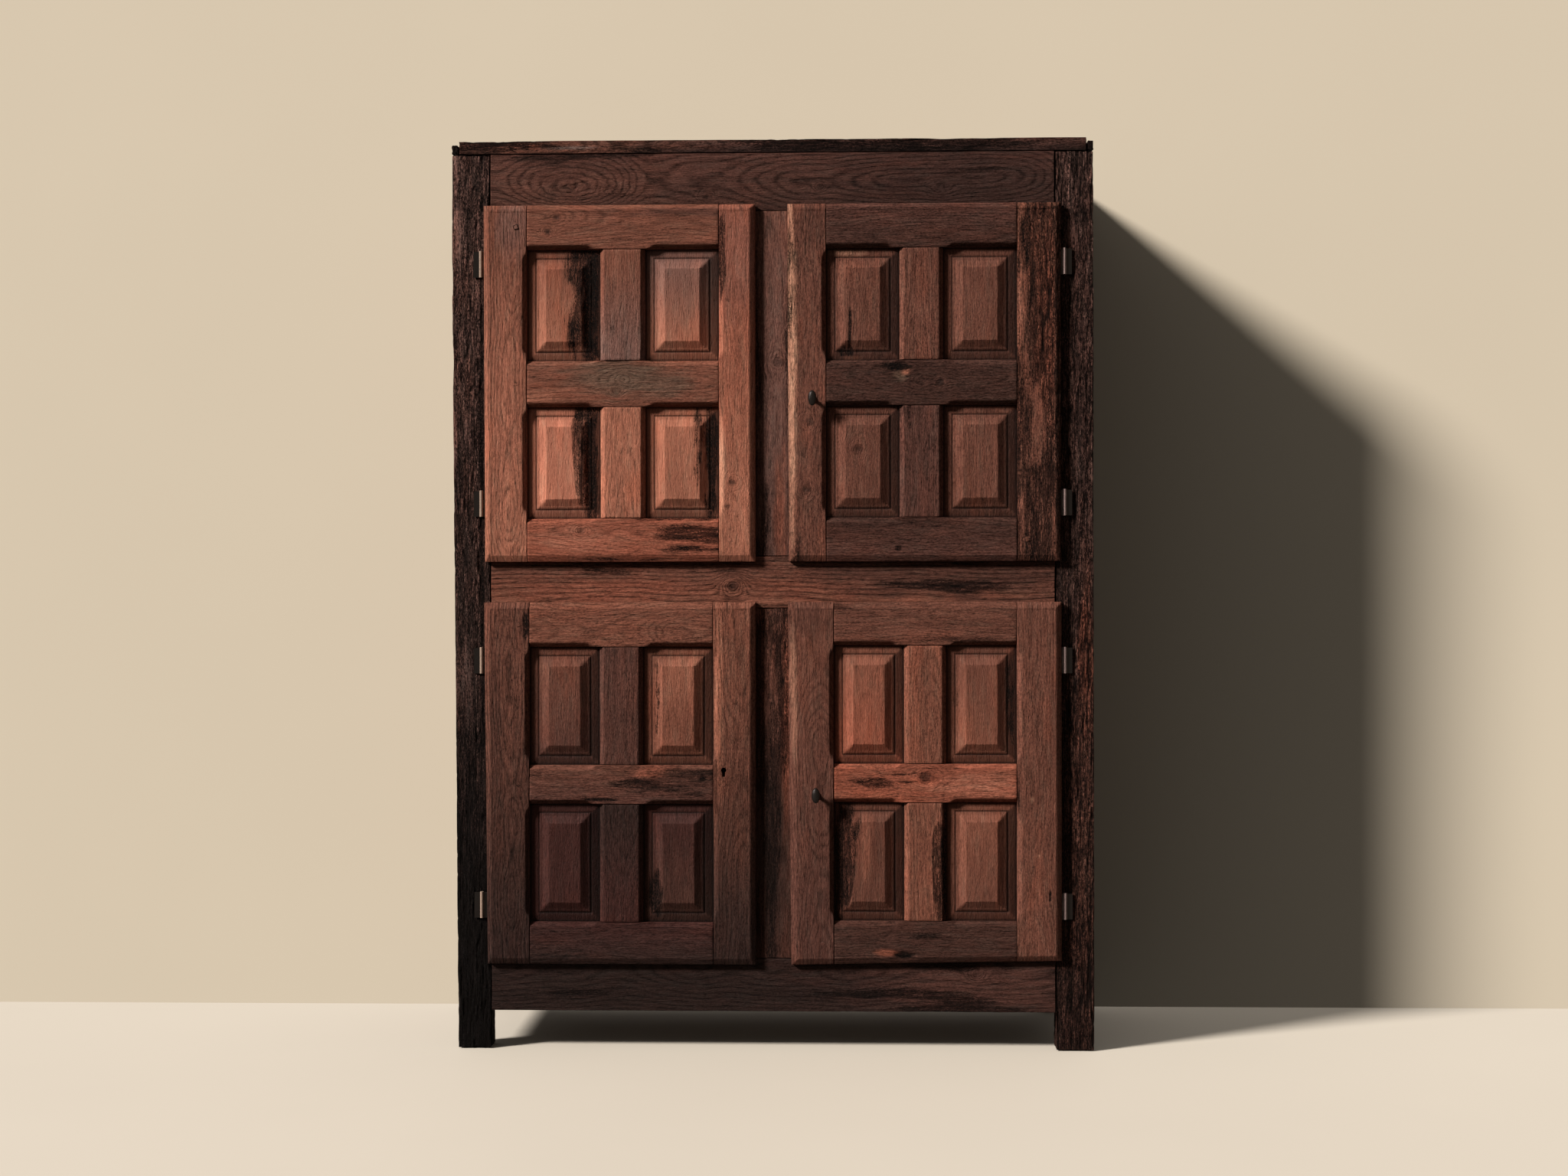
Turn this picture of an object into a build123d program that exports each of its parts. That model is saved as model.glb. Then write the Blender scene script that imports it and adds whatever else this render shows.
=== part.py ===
from build123d import *

import os
from dataclasses import dataclass

# A trastero: a tall two-tier cupboard of old joined timber, with four panelled doors.
# Frame: +X to the viewer's right, +Y from the front to the back, +Z up, origin on the floor at the
# middle of the whole cupboard. All sizes are in millimetres.

# ---------------------------------------------------------------- case, driving dimensions
WIDTH = 1260.0
HEIGHT = 1785.0
CASE_DEPTH = 460.0
TOP_THICKNESS = 27.0
END_CAP_WIDTH = 14.0
END_CAP_DROP = 7.0
TOP_CORNER = 5.0
POST_WIDTH = 77.0
FRONT_POST_DEPTH = 60.0
REAR_POST_DEPTH = 50.0
FOOT_ROUNDING = 9.0
RAIL_THICKNESS = 24.0
CENTRE_STILE_WIDTH = 86.0
CENTRE_STILE_THICKNESS = 22.0
BOTTOM_RAIL_Z = (75.0, 180.0)
MID_RAIL_Z = (866.0, 968.0)
TOP_RAIL_Z = (1644.0, HEIGHT - TOP_THICKNESS)
SIDE_SETBACK = 8.0
SIDE_RAIL_THICKNESS = 28.0
BACK_BOARD_THICKNESS = 14.0
BACK_REBATE = 10.0
BACK_BOARD_COUNT = 6
TOP_BOARD_COUNT = 3
SHELF_BOARD_COUNT = 3
LOOSE_SHELF_BOARD_COUNT = 2
SHELF_THICKNESS = 22.0
SHELF_END_X = 592.0
LOOSE_SHELF_Z = (510.0, 1290.0)
CLEAT_WIDTH = 26.0
CLEAT_HEIGHT = 30.0
CLEAT_HOUSING = 8.0

# ---------------------------------------------------------------- doors, driving dimensions
DOOR_WIDTH = 534.0
LIP_OVERLAP = 12.0
LIP_THICKNESS = 18.0
INNER_THICKNESS = 12.0
EDGE_GAP = 2.5
FACE_GAP = 0.5
BEVEL_WIDTH = 13.0
BEVEL_DEPTH = 8.0
CHAMFER = 9.0
TONGUE_LENGTH = 20.0
CHAMFER_STOP = 2.0

# ---------------------------------------------------------------- joinery
SLACK = 0.2
END_SLACK = 1.0
BOARD_GAP = 0.5
LAP = 8.0
GROOVE_DEPTH = 10.0
PANEL_TONGUE = 9.0
PANEL_TONGUE_THICKNESS = 6.6
TENON_THICKNESS = 10.0
CASE_TENON_THICKNESS = 12.0
CASE_TENON_LENGTH = 40.0
SIDE_TENON_LENGTH = 30.0
REAR_TENON_LENGTH = 35.0
DOOR_TENON_LENGTH = 45.0
MUNTIN_TENON_LENGTH = 25.0
TENON_SHOULDER = 14.0
PEG_RADIUS = 4.0
PEG_SETBACK = 21.0
PEG_PROUD = 1.0
FINE_SLACK = 0.05

# ---------------------------------------------------------------- panel profile, from its edge
MARGIN_WIDTH = 16.0
MARGIN_RISE = 2.2
STEP_RISE = 2.0
BEAD_WIDTH = 4.0
FIELD_BEVEL_WIDTH = 17.0
FIELD_BEVEL_RISE = 5.5
FIELD_STEP_RISE = 2.0

# ---------------------------------------------------------------- hinges
HINGE_LENGTH = 50.0
HINGE_INSET = 115.0
HINGE_OFFSET = 6.0
KNUCKLE_RADIUS = 3.3
KNUCKLE_GAP = 0.3
PIN_RADIUS = 2.0
PIN_HEAD_HEIGHT = 1.5
LEAF_THICKNESS = 1.8
FRAME_LEAF_WIDTH = 15.0
DOOR_LEAF_RETURN = 13.0

# ---------------------------------------------------------------- turn knobs and latch tongues
KNOB_REACH = 26.0
KNOB_HALF_WIDTH = 8.0
KNOB_HALF_HEIGHT = 15.0
KNOB_HALF_DEPTH = 6.0
NECK_RADIUS = 3.8
COLLAR_RADIUS = 7.0
COLLAR_THICKNESS = 2.0
SPINDLE_RADIUS = 3.5
TONGUE_WIDTH = 18.0
LATCH_THICKNESS = 5.0
LATCH_REACH = 57.0
LATCH_TAIL = 10.0
LATCH_BOSS_RADIUS = 8.0
LATCH_CLEARANCE = 1.0
KEYHOLE_RADIUS = 3.0
KEYHOLE_SLOT_WIDTH = 3.4
KEYHOLE_SLOT_LENGTH = 12.0

# ---------------------------------------------------------------- derived places
DOOR_PROUD = FACE_GAP + LIP_THICKNESS
BACK_Y = (CASE_DEPTH + DOOR_PROUD + KNOB_REACH) / 2
FRONT_Y = BACK_Y - CASE_DEPTH
DOOR_FACE_Y = FRONT_Y - DOOR_PROUD
POST_INNER_X = WIDTH / 2 - POST_WIDTH
HINGE_EDGE_X = POST_INNER_X + LIP_OVERLAP
TOP_UNDERSIDE = HEIGHT - TOP_THICKNESS
FRONT_POST_Y = (FRONT_Y, FRONT_Y + FRONT_POST_DEPTH)
REAR_POST_Y = (BACK_Y - REAR_POST_DEPTH, BACK_Y)
BACK_BOARD_Y = (BACK_Y - BACK_BOARD_THICKNESS, BACK_Y)
REAR_RAIL_Y = (BACK_BOARD_Y[0] - RAIL_THICKNESS, BACK_BOARD_Y[0])
SIDE_RAIL_X = (WIDTH / 2 - SIDE_SETBACK - SIDE_RAIL_THICKNESS, WIDTH / 2 - SIDE_SETBACK)
FRONT_RAILS_Z = {"top_rail": TOP_RAIL_Z, "mid_rail": MID_RAIL_Z, "bottom_rail": BOTTOM_RAIL_Z}
REAR_RAILS_Z = (
    (BOTTOM_RAIL_Z[0], BOTTOM_RAIL_Z[1] - SHELF_THICKNESS),
    (MID_RAIL_Z[0], MID_RAIL_Z[1] - SHELF_THICKNESS),
    (TOP_RAIL_Z[0] + TENON_SHOULDER, TOP_RAIL_Z[1]),
)
PANEL_BAYS_Z = ((BOTTOM_RAIL_Z[1], MID_RAIL_Z[0]), (MID_RAIL_Z[1], TOP_RAIL_Z[0]))
SHELF_TOPS = {
    "floor": BOTTOM_RAIL_Z[1],
    "lower": LOOSE_SHELF_Z[0] + SHELF_THICKNESS,
    "middle": MID_RAIL_Z[1],
    "upper": LOOSE_SHELF_Z[1] + SHELF_THICKNESS,
}
LEFT, RIGHT = -1, 1
SIDE_NAMES = {LEFT: "left", RIGHT: "right"}


@dataclass
class Door:
    """One door: which side it hangs on, its height range and the widths of its members."""

    name: str
    side: int
    z: tuple
    hinge_stile: float
    meeting_stile: float
    muntin: float
    top_rail: float
    lock_rail: float
    bottom_rail: float
    knob_u: float = 0.0
    knob_z: float = 0.0

    def x(self, u):
        """The X place at distance u from the door's hinge edge towards its meeting edge."""
        return self.side * (HINGE_EDGE_X - u)

    def panel_width(self):
        free = DOOR_WIDTH - self.hinge_stile - self.meeting_stile - self.muntin
        return free / 2

    def panel_height(self):
        rails = self.top_rail + self.lock_rail + self.bottom_rail
        return (self.z[1] - self.z[0] - rails) / 2

    def muntin_u(self):
        start = self.hinge_stile + self.panel_width()
        return (start, start + self.muntin)

    def openings_u(self):
        muntin = self.muntin_u()
        return ((self.hinge_stile, muntin[0]), (muntin[1], DOOR_WIDTH - self.meeting_stile))

    def rails_z(self):
        bottom = (self.z[0], self.z[0] + self.bottom_rail)
        lock_start = bottom[1] + self.panel_height()
        lock = (lock_start, lock_start + self.lock_rail)
        top = (self.z[1] - self.top_rail, self.z[1])
        return {"bottom_rail": bottom, "lock_rail": lock, "top_rail": top}

    def openings_z(self):
        rails = self.rails_z()
        lower = (rails["bottom_rail"][1], rails["lock_rail"][0])
        return (lower, (rails["lock_rail"][1], rails["top_rail"][0]))


LOWER_Z = (BOTTOM_RAIL_Z[1] - LIP_OVERLAP, MID_RAIL_Z[0] + LIP_OVERLAP)
UPPER_Z = (MID_RAIL_Z[1] - LIP_OVERLAP, TOP_RAIL_Z[0] + LIP_OVERLAP)
DOORS = (
    Door("upper_left", LEFT, UPPER_Z, 86.0, 72.0, 89.0, 88.0, 91.0, 86.0),
    Door("upper_right", RIGHT, UPPER_Z, 87.0, 76.0, 86.0, 88.0, 89.0, 87.0, 485.0, 1274.0),
    Door("lower_left", LEFT, LOWER_Z, 90.0, 84.0, 86.0, 88.0, 77.0, 84.0),
    Door("lower_right", RIGHT, LOWER_Z, 88.0, 90.0, 83.0, 85.0, 76.0, 88.0, 479.0, 502.0),
)
KEYHOLE_DOOR = "lower_left"
KEYHOLE_U = 471.0
KEYHOLE_Z = 547.0


# ---------------------------------------------------------------- helpers
def block(x, y, z):
    """A box between (low, high) pairs."""
    pairs = (x, y, z)
    size = [high - low for low, high in pairs]
    centre = [(high + low) / 2 for low, high in pairs]
    return Pos(*centre) * Box(*size)


def on_side(side, near, far):
    """The X range between two distances from the middle plane, on one side of it."""
    return tuple(sorted((side * near, side * far)))


def grown(pair, amount):
    return (pair[0] - amount, pair[1] + amount)


def centred(middle, width):
    return (middle - width / 2, middle + width / 2)


def rod(start, axis, radius, length):
    """A cylinder from a start point along the unit vector axis."""
    return Plane(origin=start, z_dir=axis).location * Cylinder(
        radius, length, align=(Align.CENTER, Align.CENTER, Align.MIN)
    )


def save(node, *shapes):
    """Writes every solid of the shapes as one node."""
    solids = [solid for shape in shapes for solid in shape.solids()]
    whole = solids[0] if len(solids) == 1 else Compound(children=solids)
    export_step(whole, f"parts/{node}.step")


def lapped_boards(x, y, z, across, through, count):
    """Boards side by side along one axis, half-lapped over each other through another axis."""
    whole = [x, y, z]
    low, high = whole[across]
    pitch = (high - low) / count
    middle = sum(whole[through]) / 2
    halves = ((whole[through][0], middle, 0.0), (middle, whole[through][1], LAP))
    boards = []
    for i in range(count):
        parts = []
        for start, end, shift in halves:
            ranges = list(whole)
            first = low if i == 0 else low + i * pitch + BOARD_GAP / 2 - shift
            last = high if i == count - 1 else low + (i + 1) * pitch - BOARD_GAP / 2 - shift
            ranges[across] = (first, last)
            ranges[through] = (start, end)
            parts.append(block(*ranges))
        boards.append(parts[0] + parts[1])
    return boards


def frustum(low_size, high_size, low, high):
    """A block with a rectangular base and a rectangular top of another size."""
    base = Plane(origin=(0, 0, low)) * Rectangle(*low_size)
    top = Plane(origin=(0, 0, high)) * Rectangle(*high_size)
    return loft([base.face(), top.face()], ruled=True)


def raised_panel(width, height):
    """A raised and fielded panel with its tongues, for an opening of this size, facing +Z."""
    base = Box(width + 2 * PANEL_TONGUE, height + 2 * PANEL_TONGUE, PANEL_TONGUE_THICKNESS)
    panel = Pos(0, 0, -PANEL_TONGUE_THICKNESS / 2) * base
    levels = (
        (MARGIN_WIDTH, MARGIN_RISE),
        (0.0, STEP_RISE),
        (BEAD_WIDTH, 0.0),
        (FIELD_BEVEL_WIDTH, FIELD_BEVEL_RISE),
        (0.0, FIELD_STEP_RISE),
    )
    inset, level = 2 * SLACK, 0.0
    for run, rise in levels:
        low = (width - 2 * inset, height - 2 * inset)
        high = (width - 2 * (inset + run), height - 2 * (inset + run))
        if rise:
            panel += frustum(low, high, level, level + rise)
        inset, level = inset + run, level + rise
    return panel


def chamfer_cut(start, end, outward, stop_start, stop_end):
    """The wood taken off an arris by a chamfer that can end in a lamb's tongue at each end."""
    start, end = Vector(*start), Vector(*end)
    along = (end - start).normalized()
    lift = (Vector(*outward) + Vector(0, -1, 0)).normalized()
    depth = CHAMFER / 2**0.5
    length = (end - start).length
    outline = Plane(origin=start, x_dir=along, z_dir=along.cross(lift))
    first = CHAMFER_STOP if stop_start else -END_SLACK
    last = length - CHAMFER_STOP if stop_end else length + END_SLACK
    low_first = first + TONGUE_LENGTH if stop_start else first
    low_last = last - TONGUE_LENGTH if stop_end else last
    top = CHAMFER
    edges = [Line((low_first, -depth), (low_last, -depth))]
    if stop_end:
        edges.append(Spline((low_last, -depth), (last, 0), tangents=[(1, 0), (1, 0)]))
        edges.append(Line((last, 0), (last, top)))
    else:
        edges.append(Line((last, -depth), (last, top)))
    edges.append(Line((last, top), (first, top)))
    if stop_start:
        edges.append(Line((first, top), (first, 0)))
        edges.append(Spline((first, 0), (low_first, -depth), tangents=[(1, 0), (1, 0)]))
    else:
        edges.append(Line((first, top), (first, -depth)))
    profile = outline * Face(Wire(edges))
    return extrude(profile, amount=depth + END_SLACK, both=True)


# ---------------------------------------------------------------- case joinery
def front_tenon_y():
    return centred(FRONT_Y + RAIL_THICKNESS / 2, CASE_TENON_THICKNESS)


def rear_tenon_y():
    return centred(sum(REAR_RAIL_Y) / 2, CASE_TENON_THICKNESS)


def side_tenon_x():
    return centred(sum(SIDE_RAIL_X) / 2, CASE_TENON_THICKNESS)


def tenon_z(rail_z):
    return grown(rail_z, -TENON_SHOULDER)


def front_mortises(side):
    """The mortises that take the front rails in one post."""
    x = on_side(side, POST_INNER_X - END_SLACK, POST_INNER_X + CASE_TENON_LENGTH + END_SLACK)
    y = grown(front_tenon_y(), SLACK)
    return [block(x, y, grown(tenon_z(z), SLACK)) for z in FRONT_RAILS_Z.values()]


def rear_mortises(side):
    x = on_side(side, POST_INNER_X - END_SLACK, POST_INNER_X + REAR_TENON_LENGTH + END_SLACK)
    y = grown(rear_tenon_y(), SLACK)
    return [block(x, y, grown(tenon_z(z), SLACK)) for z in REAR_RAILS_Z]


def side_mortises(side, y):
    """The side rails' mortises, the panel grooves and the cleat housings in one post."""
    x = on_side(side, *grown(side_tenon_x(), SLACK))
    cuts = [block(x, y["tenon"], grown(tenon_z(z), SLACK)) for z in FRONT_RAILS_Z.values()]
    groove = on_side(side, *grown(centred(sum(SIDE_RAIL_X) / 2, PANEL_TONGUE_THICKNESS), SLACK))
    cuts += [block(groove, y["groove"], grown(bay, GROOVE_DEPTH)) for bay in PANEL_BAYS_Z]
    cleat = on_side(side, *grown(cleat_x(), SLACK))
    cuts += [block(cleat, y["housing"], grown(cleat_z(top), SLACK)) for top in SHELF_TOPS.values()]
    return cuts


def cleat_x():
    return (SHELF_END_X - CLEAT_WIDTH, SHELF_END_X)


def cleat_z(shelf_top):
    top = shelf_top - SHELF_THICKNESS
    return (top - CLEAT_HEIGHT, top)


def front_post(side):
    post = block(on_side(side, POST_INNER_X, WIDTH / 2), FRONT_POST_Y, (0, TOP_UNDERSIDE))
    post = fillet(post.faces().sort_by(Axis.Z)[0].edges(), FOOT_ROUNDING)
    back = FRONT_POST_Y[1]
    depths = {
        "tenon": (back - SIDE_TENON_LENGTH - END_SLACK, back + END_SLACK),
        "groove": (back - GROOVE_DEPTH, back + END_SLACK),
        "housing": (back - CLEAT_HOUSING - END_SLACK, back + END_SLACK),
    }
    for cut in front_mortises(side) + side_mortises(side, depths):
        post -= cut
    return post


def rear_post(side):
    post = block(on_side(side, POST_INNER_X, WIDTH / 2), REAR_POST_Y, (0, TOP_UNDERSIDE))
    post = fillet(post.faces().sort_by(Axis.Z)[0].edges(), FOOT_ROUNDING)
    front = REAR_POST_Y[0]
    depths = {
        "tenon": (front - END_SLACK, front + SIDE_TENON_LENGTH + END_SLACK),
        "groove": (front - END_SLACK, front + GROOVE_DEPTH),
        "housing": (front - END_SLACK, front + CLEAT_HOUSING + END_SLACK),
    }
    rebate = block(
        on_side(side, POST_INNER_X - END_SLACK, POST_INNER_X + BACK_REBATE),
        (BACK_BOARD_Y[0], BACK_Y + END_SLACK),
        (BOTTOM_RAIL_Z[0], TOP_UNDERSIDE + END_SLACK),
    )
    for cut in rear_mortises(side) + side_mortises(side, depths) + [rebate]:
        post -= cut
    return post


def crossways_rail(y, z, tenon_y, tenon_length):
    """A rail between two posts, with a tenon at each end."""
    rail = block((-POST_INNER_X, POST_INNER_X), y, z)
    reach = POST_INNER_X + tenon_length
    return rail + block((-reach, reach), tenon_y, tenon_z(z))


def front_rail(name):
    rail = crossways_rail(
        (FRONT_Y, FRONT_Y + RAIL_THICKNESS), FRONT_RAILS_Z[name], front_tenon_y(), CASE_TENON_LENGTH
    )
    for z in centre_mortises_z(name):
        x = grown(centre_tenon_x(), SLACK)
        rail -= block(x, grown(centre_tenon_y(), SLACK), z)
    if name in ("mid_rail", "bottom_rail"):
        groove_y = (FRONT_Y + RAIL_THICKNESS - LAP - END_SLACK, FRONT_Y + RAIL_THICKNESS + END_SLACK)
        reach = POST_INNER_X + END_SLACK
        shelf_z = grown(shelf_tongue_z(FRONT_RAILS_Z[name][1]), SLACK)
        rail -= block((-reach, reach), groove_y, shelf_z)
    return rail


def rear_rails():
    y, tenon_y = REAR_RAIL_Y, rear_tenon_y()
    return [crossways_rail(y, z, tenon_y, REAR_TENON_LENGTH) for z in REAR_RAILS_Z]


def centre_tenon_x():
    return centred(0, CENTRE_STILE_WIDTH - 2 * TENON_SHOULDER)


def centre_tenon_y():
    return centred(FRONT_Y + CENTRE_STILE_THICKNESS / 2, TENON_THICKNESS)


def centre_mortises_z(name):
    """The height ranges of the mortises for the centre stiles in one front rail."""
    low, high = FRONT_RAILS_Z[name]
    depth = MUNTIN_TENON_LENGTH + END_SLACK
    upward = (high - depth, high + END_SLACK)
    downward = (low - END_SLACK, low + depth)
    return {"top_rail": [downward], "mid_rail": [upward, downward], "bottom_rail": [upward]}[name]


def centre_stile(bay):
    stile = block(centred(0, CENTRE_STILE_WIDTH), (FRONT_Y, FRONT_Y + CENTRE_STILE_THICKNESS), bay)
    return stile + block(centre_tenon_x(), centre_tenon_y(), grown(bay, MUNTIN_TENON_LENGTH))


def shelf_tongue_z(shelf_top):
    return centred(shelf_top - SHELF_THICKNESS / 2, LAP)


def side_rail(side, z, groove_up, groove_down):
    y = (FRONT_POST_Y[1], REAR_POST_Y[0])
    rail = block(on_side(side, *SIDE_RAIL_X), y, z)
    tenon_y = grown(y, SIDE_TENON_LENGTH)
    rail += block(on_side(side, *side_tenon_x()), tenon_y, tenon_z(z))
    groove_x = on_side(side, *grown(centred(sum(SIDE_RAIL_X) / 2, PANEL_TONGUE_THICKNESS), SLACK))
    groove_y = grown(y, END_SLACK)
    if groove_up:
        rail -= block(groove_x, groove_y, (z[1] - GROOVE_DEPTH, z[1] + END_SLACK))
    if groove_down:
        rail -= block(groove_x, groove_y, (z[0] - END_SLACK, z[0] + GROOVE_DEPTH))
    return rail


def side_rails(side):
    return [
        side_rail(side, BOTTOM_RAIL_Z, True, False),
        side_rail(side, MID_RAIL_Z, True, True),
        side_rail(side, TOP_RAIL_Z, False, True),
    ]


def side_panel(side, bay):
    y = (FRONT_POST_Y[1], REAR_POST_Y[0])
    face_x = side * (sum(SIDE_RAIL_X) / 2 + PANEL_TONGUE_THICKNESS / 2)
    place = Plane(origin=(face_x, sum(y) / 2, sum(bay) / 2), x_dir=(0, side, 0), z_dir=(side, 0, 0))
    return place.location * raised_panel(y[1] - y[0], bay[1] - bay[0])


def cleat(side, shelf_top):
    y = (FRONT_POST_Y[1] + SLACK, REAR_POST_Y[0] - SLACK)
    return block(on_side(side, *cleat_x()), grown(y, CLEAT_HOUSING), cleat_z(shelf_top))


# ---------------------------------------------------------------- boards of the case
def top_boards():
    reach = WIDTH / 2 - END_CAP_WIDTH - SLACK
    y, z = (FRONT_Y, BACK_Y), (TOP_UNDERSIDE, HEIGHT)
    trimmed = []
    for board in lapped_boards((-reach, reach), y, z, across=1, through=2, count=TOP_BOARD_COUNT):
        upper = board.edges().filter_by(Axis.Y).filter_by(lambda e: HEIGHT - e.center().Z < SLACK)
        ends = [e for e in upper if reach - abs(e.center().X) < SLACK]
        trimmed.append(chamfer(ends, TOP_CORNER))
    return trimmed


def top_end_cap(side):
    x = on_side(side, WIDTH / 2 - END_CAP_WIDTH, WIDTH / 2)
    return block(x, (FRONT_Y, BACK_Y), (TOP_UNDERSIDE, HEIGHT - END_CAP_DROP))


def back_boards():
    reach = POST_INNER_X + BACK_REBATE - BOARD_GAP
    z = (BOTTOM_RAIL_Z[0], TOP_UNDERSIDE)
    return lapped_boards((-reach, reach), BACK_BOARD_Y, z, across=0, through=1, count=BACK_BOARD_COUNT)


def housed_boards(shelf_top):
    """Boards that fill the case from the front rail to the back boards, notched round the posts."""
    x = (-SHELF_END_X, SHELF_END_X)
    z = (shelf_top - SHELF_THICKNESS, shelf_top)
    front = FRONT_Y + RAIL_THICKNESS
    back = BACK_BOARD_Y[0]
    boards = lapped_boards(x, (front, back), z, across=1, through=2, count=SHELF_BOARD_COUNT)
    tongue_x = grown((-POST_INNER_X, POST_INNER_X), -END_SLACK)
    boards[0] += block(tongue_x, (front - LAP, front), shelf_tongue_z(shelf_top))
    notched = []
    for board in boards:
        for side in (LEFT, RIGHT):
            notch_x = on_side(side, POST_INNER_X - END_SLACK, WIDTH / 2)
            board -= block(notch_x, (FRONT_Y, FRONT_POST_Y[1] + END_SLACK), z)
            board -= block(notch_x, (REAR_POST_Y[0] - END_SLACK, BACK_Y), z)
        notched.append(board)
    return notched


def loose_shelf(z_low):
    y = (FRONT_POST_Y[1] + END_SLACK, REAR_POST_Y[0] - END_SLACK)
    x, z = (-SHELF_END_X, SHELF_END_X), (z_low, z_low + SHELF_THICKNESS)
    return lapped_boards(x, y, z, across=1, through=2, count=LOOSE_SHELF_BOARD_COUNT)


# ---------------------------------------------------------------- doors
def in_door(door, u, v, z):
    """A box in a door: u from the hinge edge, v from the face into the wood, z up."""
    x = tuple(sorted((door.x(u[0]), door.x(u[1]))))
    return block(x, (DOOR_FACE_Y + v[0], DOOR_FACE_Y + v[1]), z)


def door_envelope(door):
    """The whole door as one slab: a bevelled lip, and a smaller part that enters the opening."""
    lip = in_door(door, (0, DOOR_WIDTH), (0, LIP_THICKNESS), door.z)
    rim = lip.faces().sort_by(Axis.Y)[0]
    lip = chamfer(rim.edges(), BEVEL_WIDTH, BEVEL_DEPTH, reference=rim)
    inset = LIP_OVERLAP + EDGE_GAP
    inner = in_door(
        door,
        (inset, DOOR_WIDTH - inset),
        (LIP_THICKNESS, LIP_THICKNESS + INNER_THICKNESS),
        grown(door.z, -inset),
    )
    return lip + inner


DOOR_V = (0, LIP_THICKNESS + INNER_THICKNESS)
PANEL_FACE_V = 15.7
GROOVE_V = grown((PANEL_FACE_V, PANEL_FACE_V + PANEL_TONGUE_THICKNESS), SLACK)
TENON_V = centred(PANEL_FACE_V + PANEL_TONGUE_THICKNESS / 2, TENON_THICKNESS)


def grooves(door):
    """The panel grooves round all four openings, as cuts that reach past each opening's edges."""
    return [
        in_door(door, grown(u, GROOVE_DEPTH), GROOVE_V, grown(z, GROOVE_DEPTH))
        for u in door.openings_u()
        for z in door.openings_z()
    ]


def opening_arrises(door):
    """Each edge of each opening: its ends, the way to the opening, the member and its two stops."""
    found = []
    muntin = door.muntin_u()
    for bay_z in door.openings_z():
        for edge_u, way, member in (
            (door.hinge_stile, 1, "hinge_stile"),
            (muntin[0], -1, "muntins"),
            (muntin[1], 1, "muntins"),
            (DOOR_WIDTH - door.meeting_stile, -1, "meeting_stile"),
        ):
            stopped = member != "muntins"
            ends = [(door.x(edge_u), DOOR_FACE_Y, z) for z in bay_z]
            outward = (-door.side * way, 0, 0)
            found.append((member, ends, outward, stopped, stopped))
    rails = door.rails_z()
    for rail, z, up in (
        ("bottom_rail", rails["bottom_rail"][1], 1),
        ("lock_rail", rails["lock_rail"][0], -1),
        ("lock_rail", rails["lock_rail"][1], 1),
        ("top_rail", rails["top_rail"][0], -1),
    ):
        for i, bay_u in enumerate(door.openings_u()):
            ends = [(door.x(u), DOOR_FACE_Y, z) for u in bay_u]
            found.append((rail, ends, (0, 0, up), i == 1, i == 0))
    return found


def stile_mortises(door, edge_u, way):
    """The mortises for the three rails in a stile whose inner edge is at edge_u."""
    deep = edge_u + way * (DOOR_TENON_LENGTH + END_SLACK)
    u = tuple(sorted((edge_u - way * END_SLACK, deep)))
    rails = door.rails_z().values()
    return [in_door(door, u, grown(TENON_V, SLACK), grown(tenon_z(z), SLACK)) for z in rails]


def rail_tenons(door, z):
    shoulders = (door.hinge_stile, DOOR_WIDTH - door.meeting_stile)
    return in_door(door, grown(shoulders, DOOR_TENON_LENGTH), TENON_V, tenon_z(z))


def muntin_tenon_u(door):
    return grown(door.muntin_u(), -TENON_SHOULDER)


def muntin_mortises(door):
    reach = MUNTIN_TENON_LENGTH + END_SLACK
    u = grown(muntin_tenon_u(door), SLACK)
    return [in_door(door, u, GROOVE_V, grown(z, reach)) for z in door.openings_z()]


def peg_places(door):
    for u in (door.hinge_stile - PEG_SETBACK, DOOR_WIDTH - door.meeting_stile + PEG_SETBACK):
        for low, high in door.rails_z().values():
            yield (door.x(u), (low + high) / 2)


def through_door(x, z, radius, proud):
    start = (x, DOOR_FACE_Y - proud, z)
    return rod(start, (0, 1, 0), radius, DOOR_V[1] + proud)


def keyhole(door):
    bore = through_door(door.x(KEYHOLE_U), KEYHOLE_Z, KEYHOLE_RADIUS, END_SLACK)
    slot_u = centred(KEYHOLE_U, KEYHOLE_SLOT_WIDTH)
    slot_z = (KEYHOLE_Z - KEYHOLE_SLOT_LENGTH, KEYHOLE_Z)
    return bore + in_door(door, slot_u, grown(DOOR_V, END_SLACK), slot_z)


def door_bores(door):
    """Everything drilled through the joined door: peg holes, the spindle's hole, the keyhole."""
    bores = [through_door(x, z, PEG_RADIUS + FINE_SLACK, END_SLACK) for x, z in peg_places(door)]
    if door.knob_u:
        x = door.x(door.knob_u)
        bores.append(through_door(x, door.knob_z, SPINDLE_RADIUS + FINE_SLACK, END_SLACK))
    if door.name == KEYHOLE_DOOR:
        bores.append(keyhole(door))
    return bores


def subtract(piece, cuts):
    for cut in cuts:
        piece = piece - cut
    return piece


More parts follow.
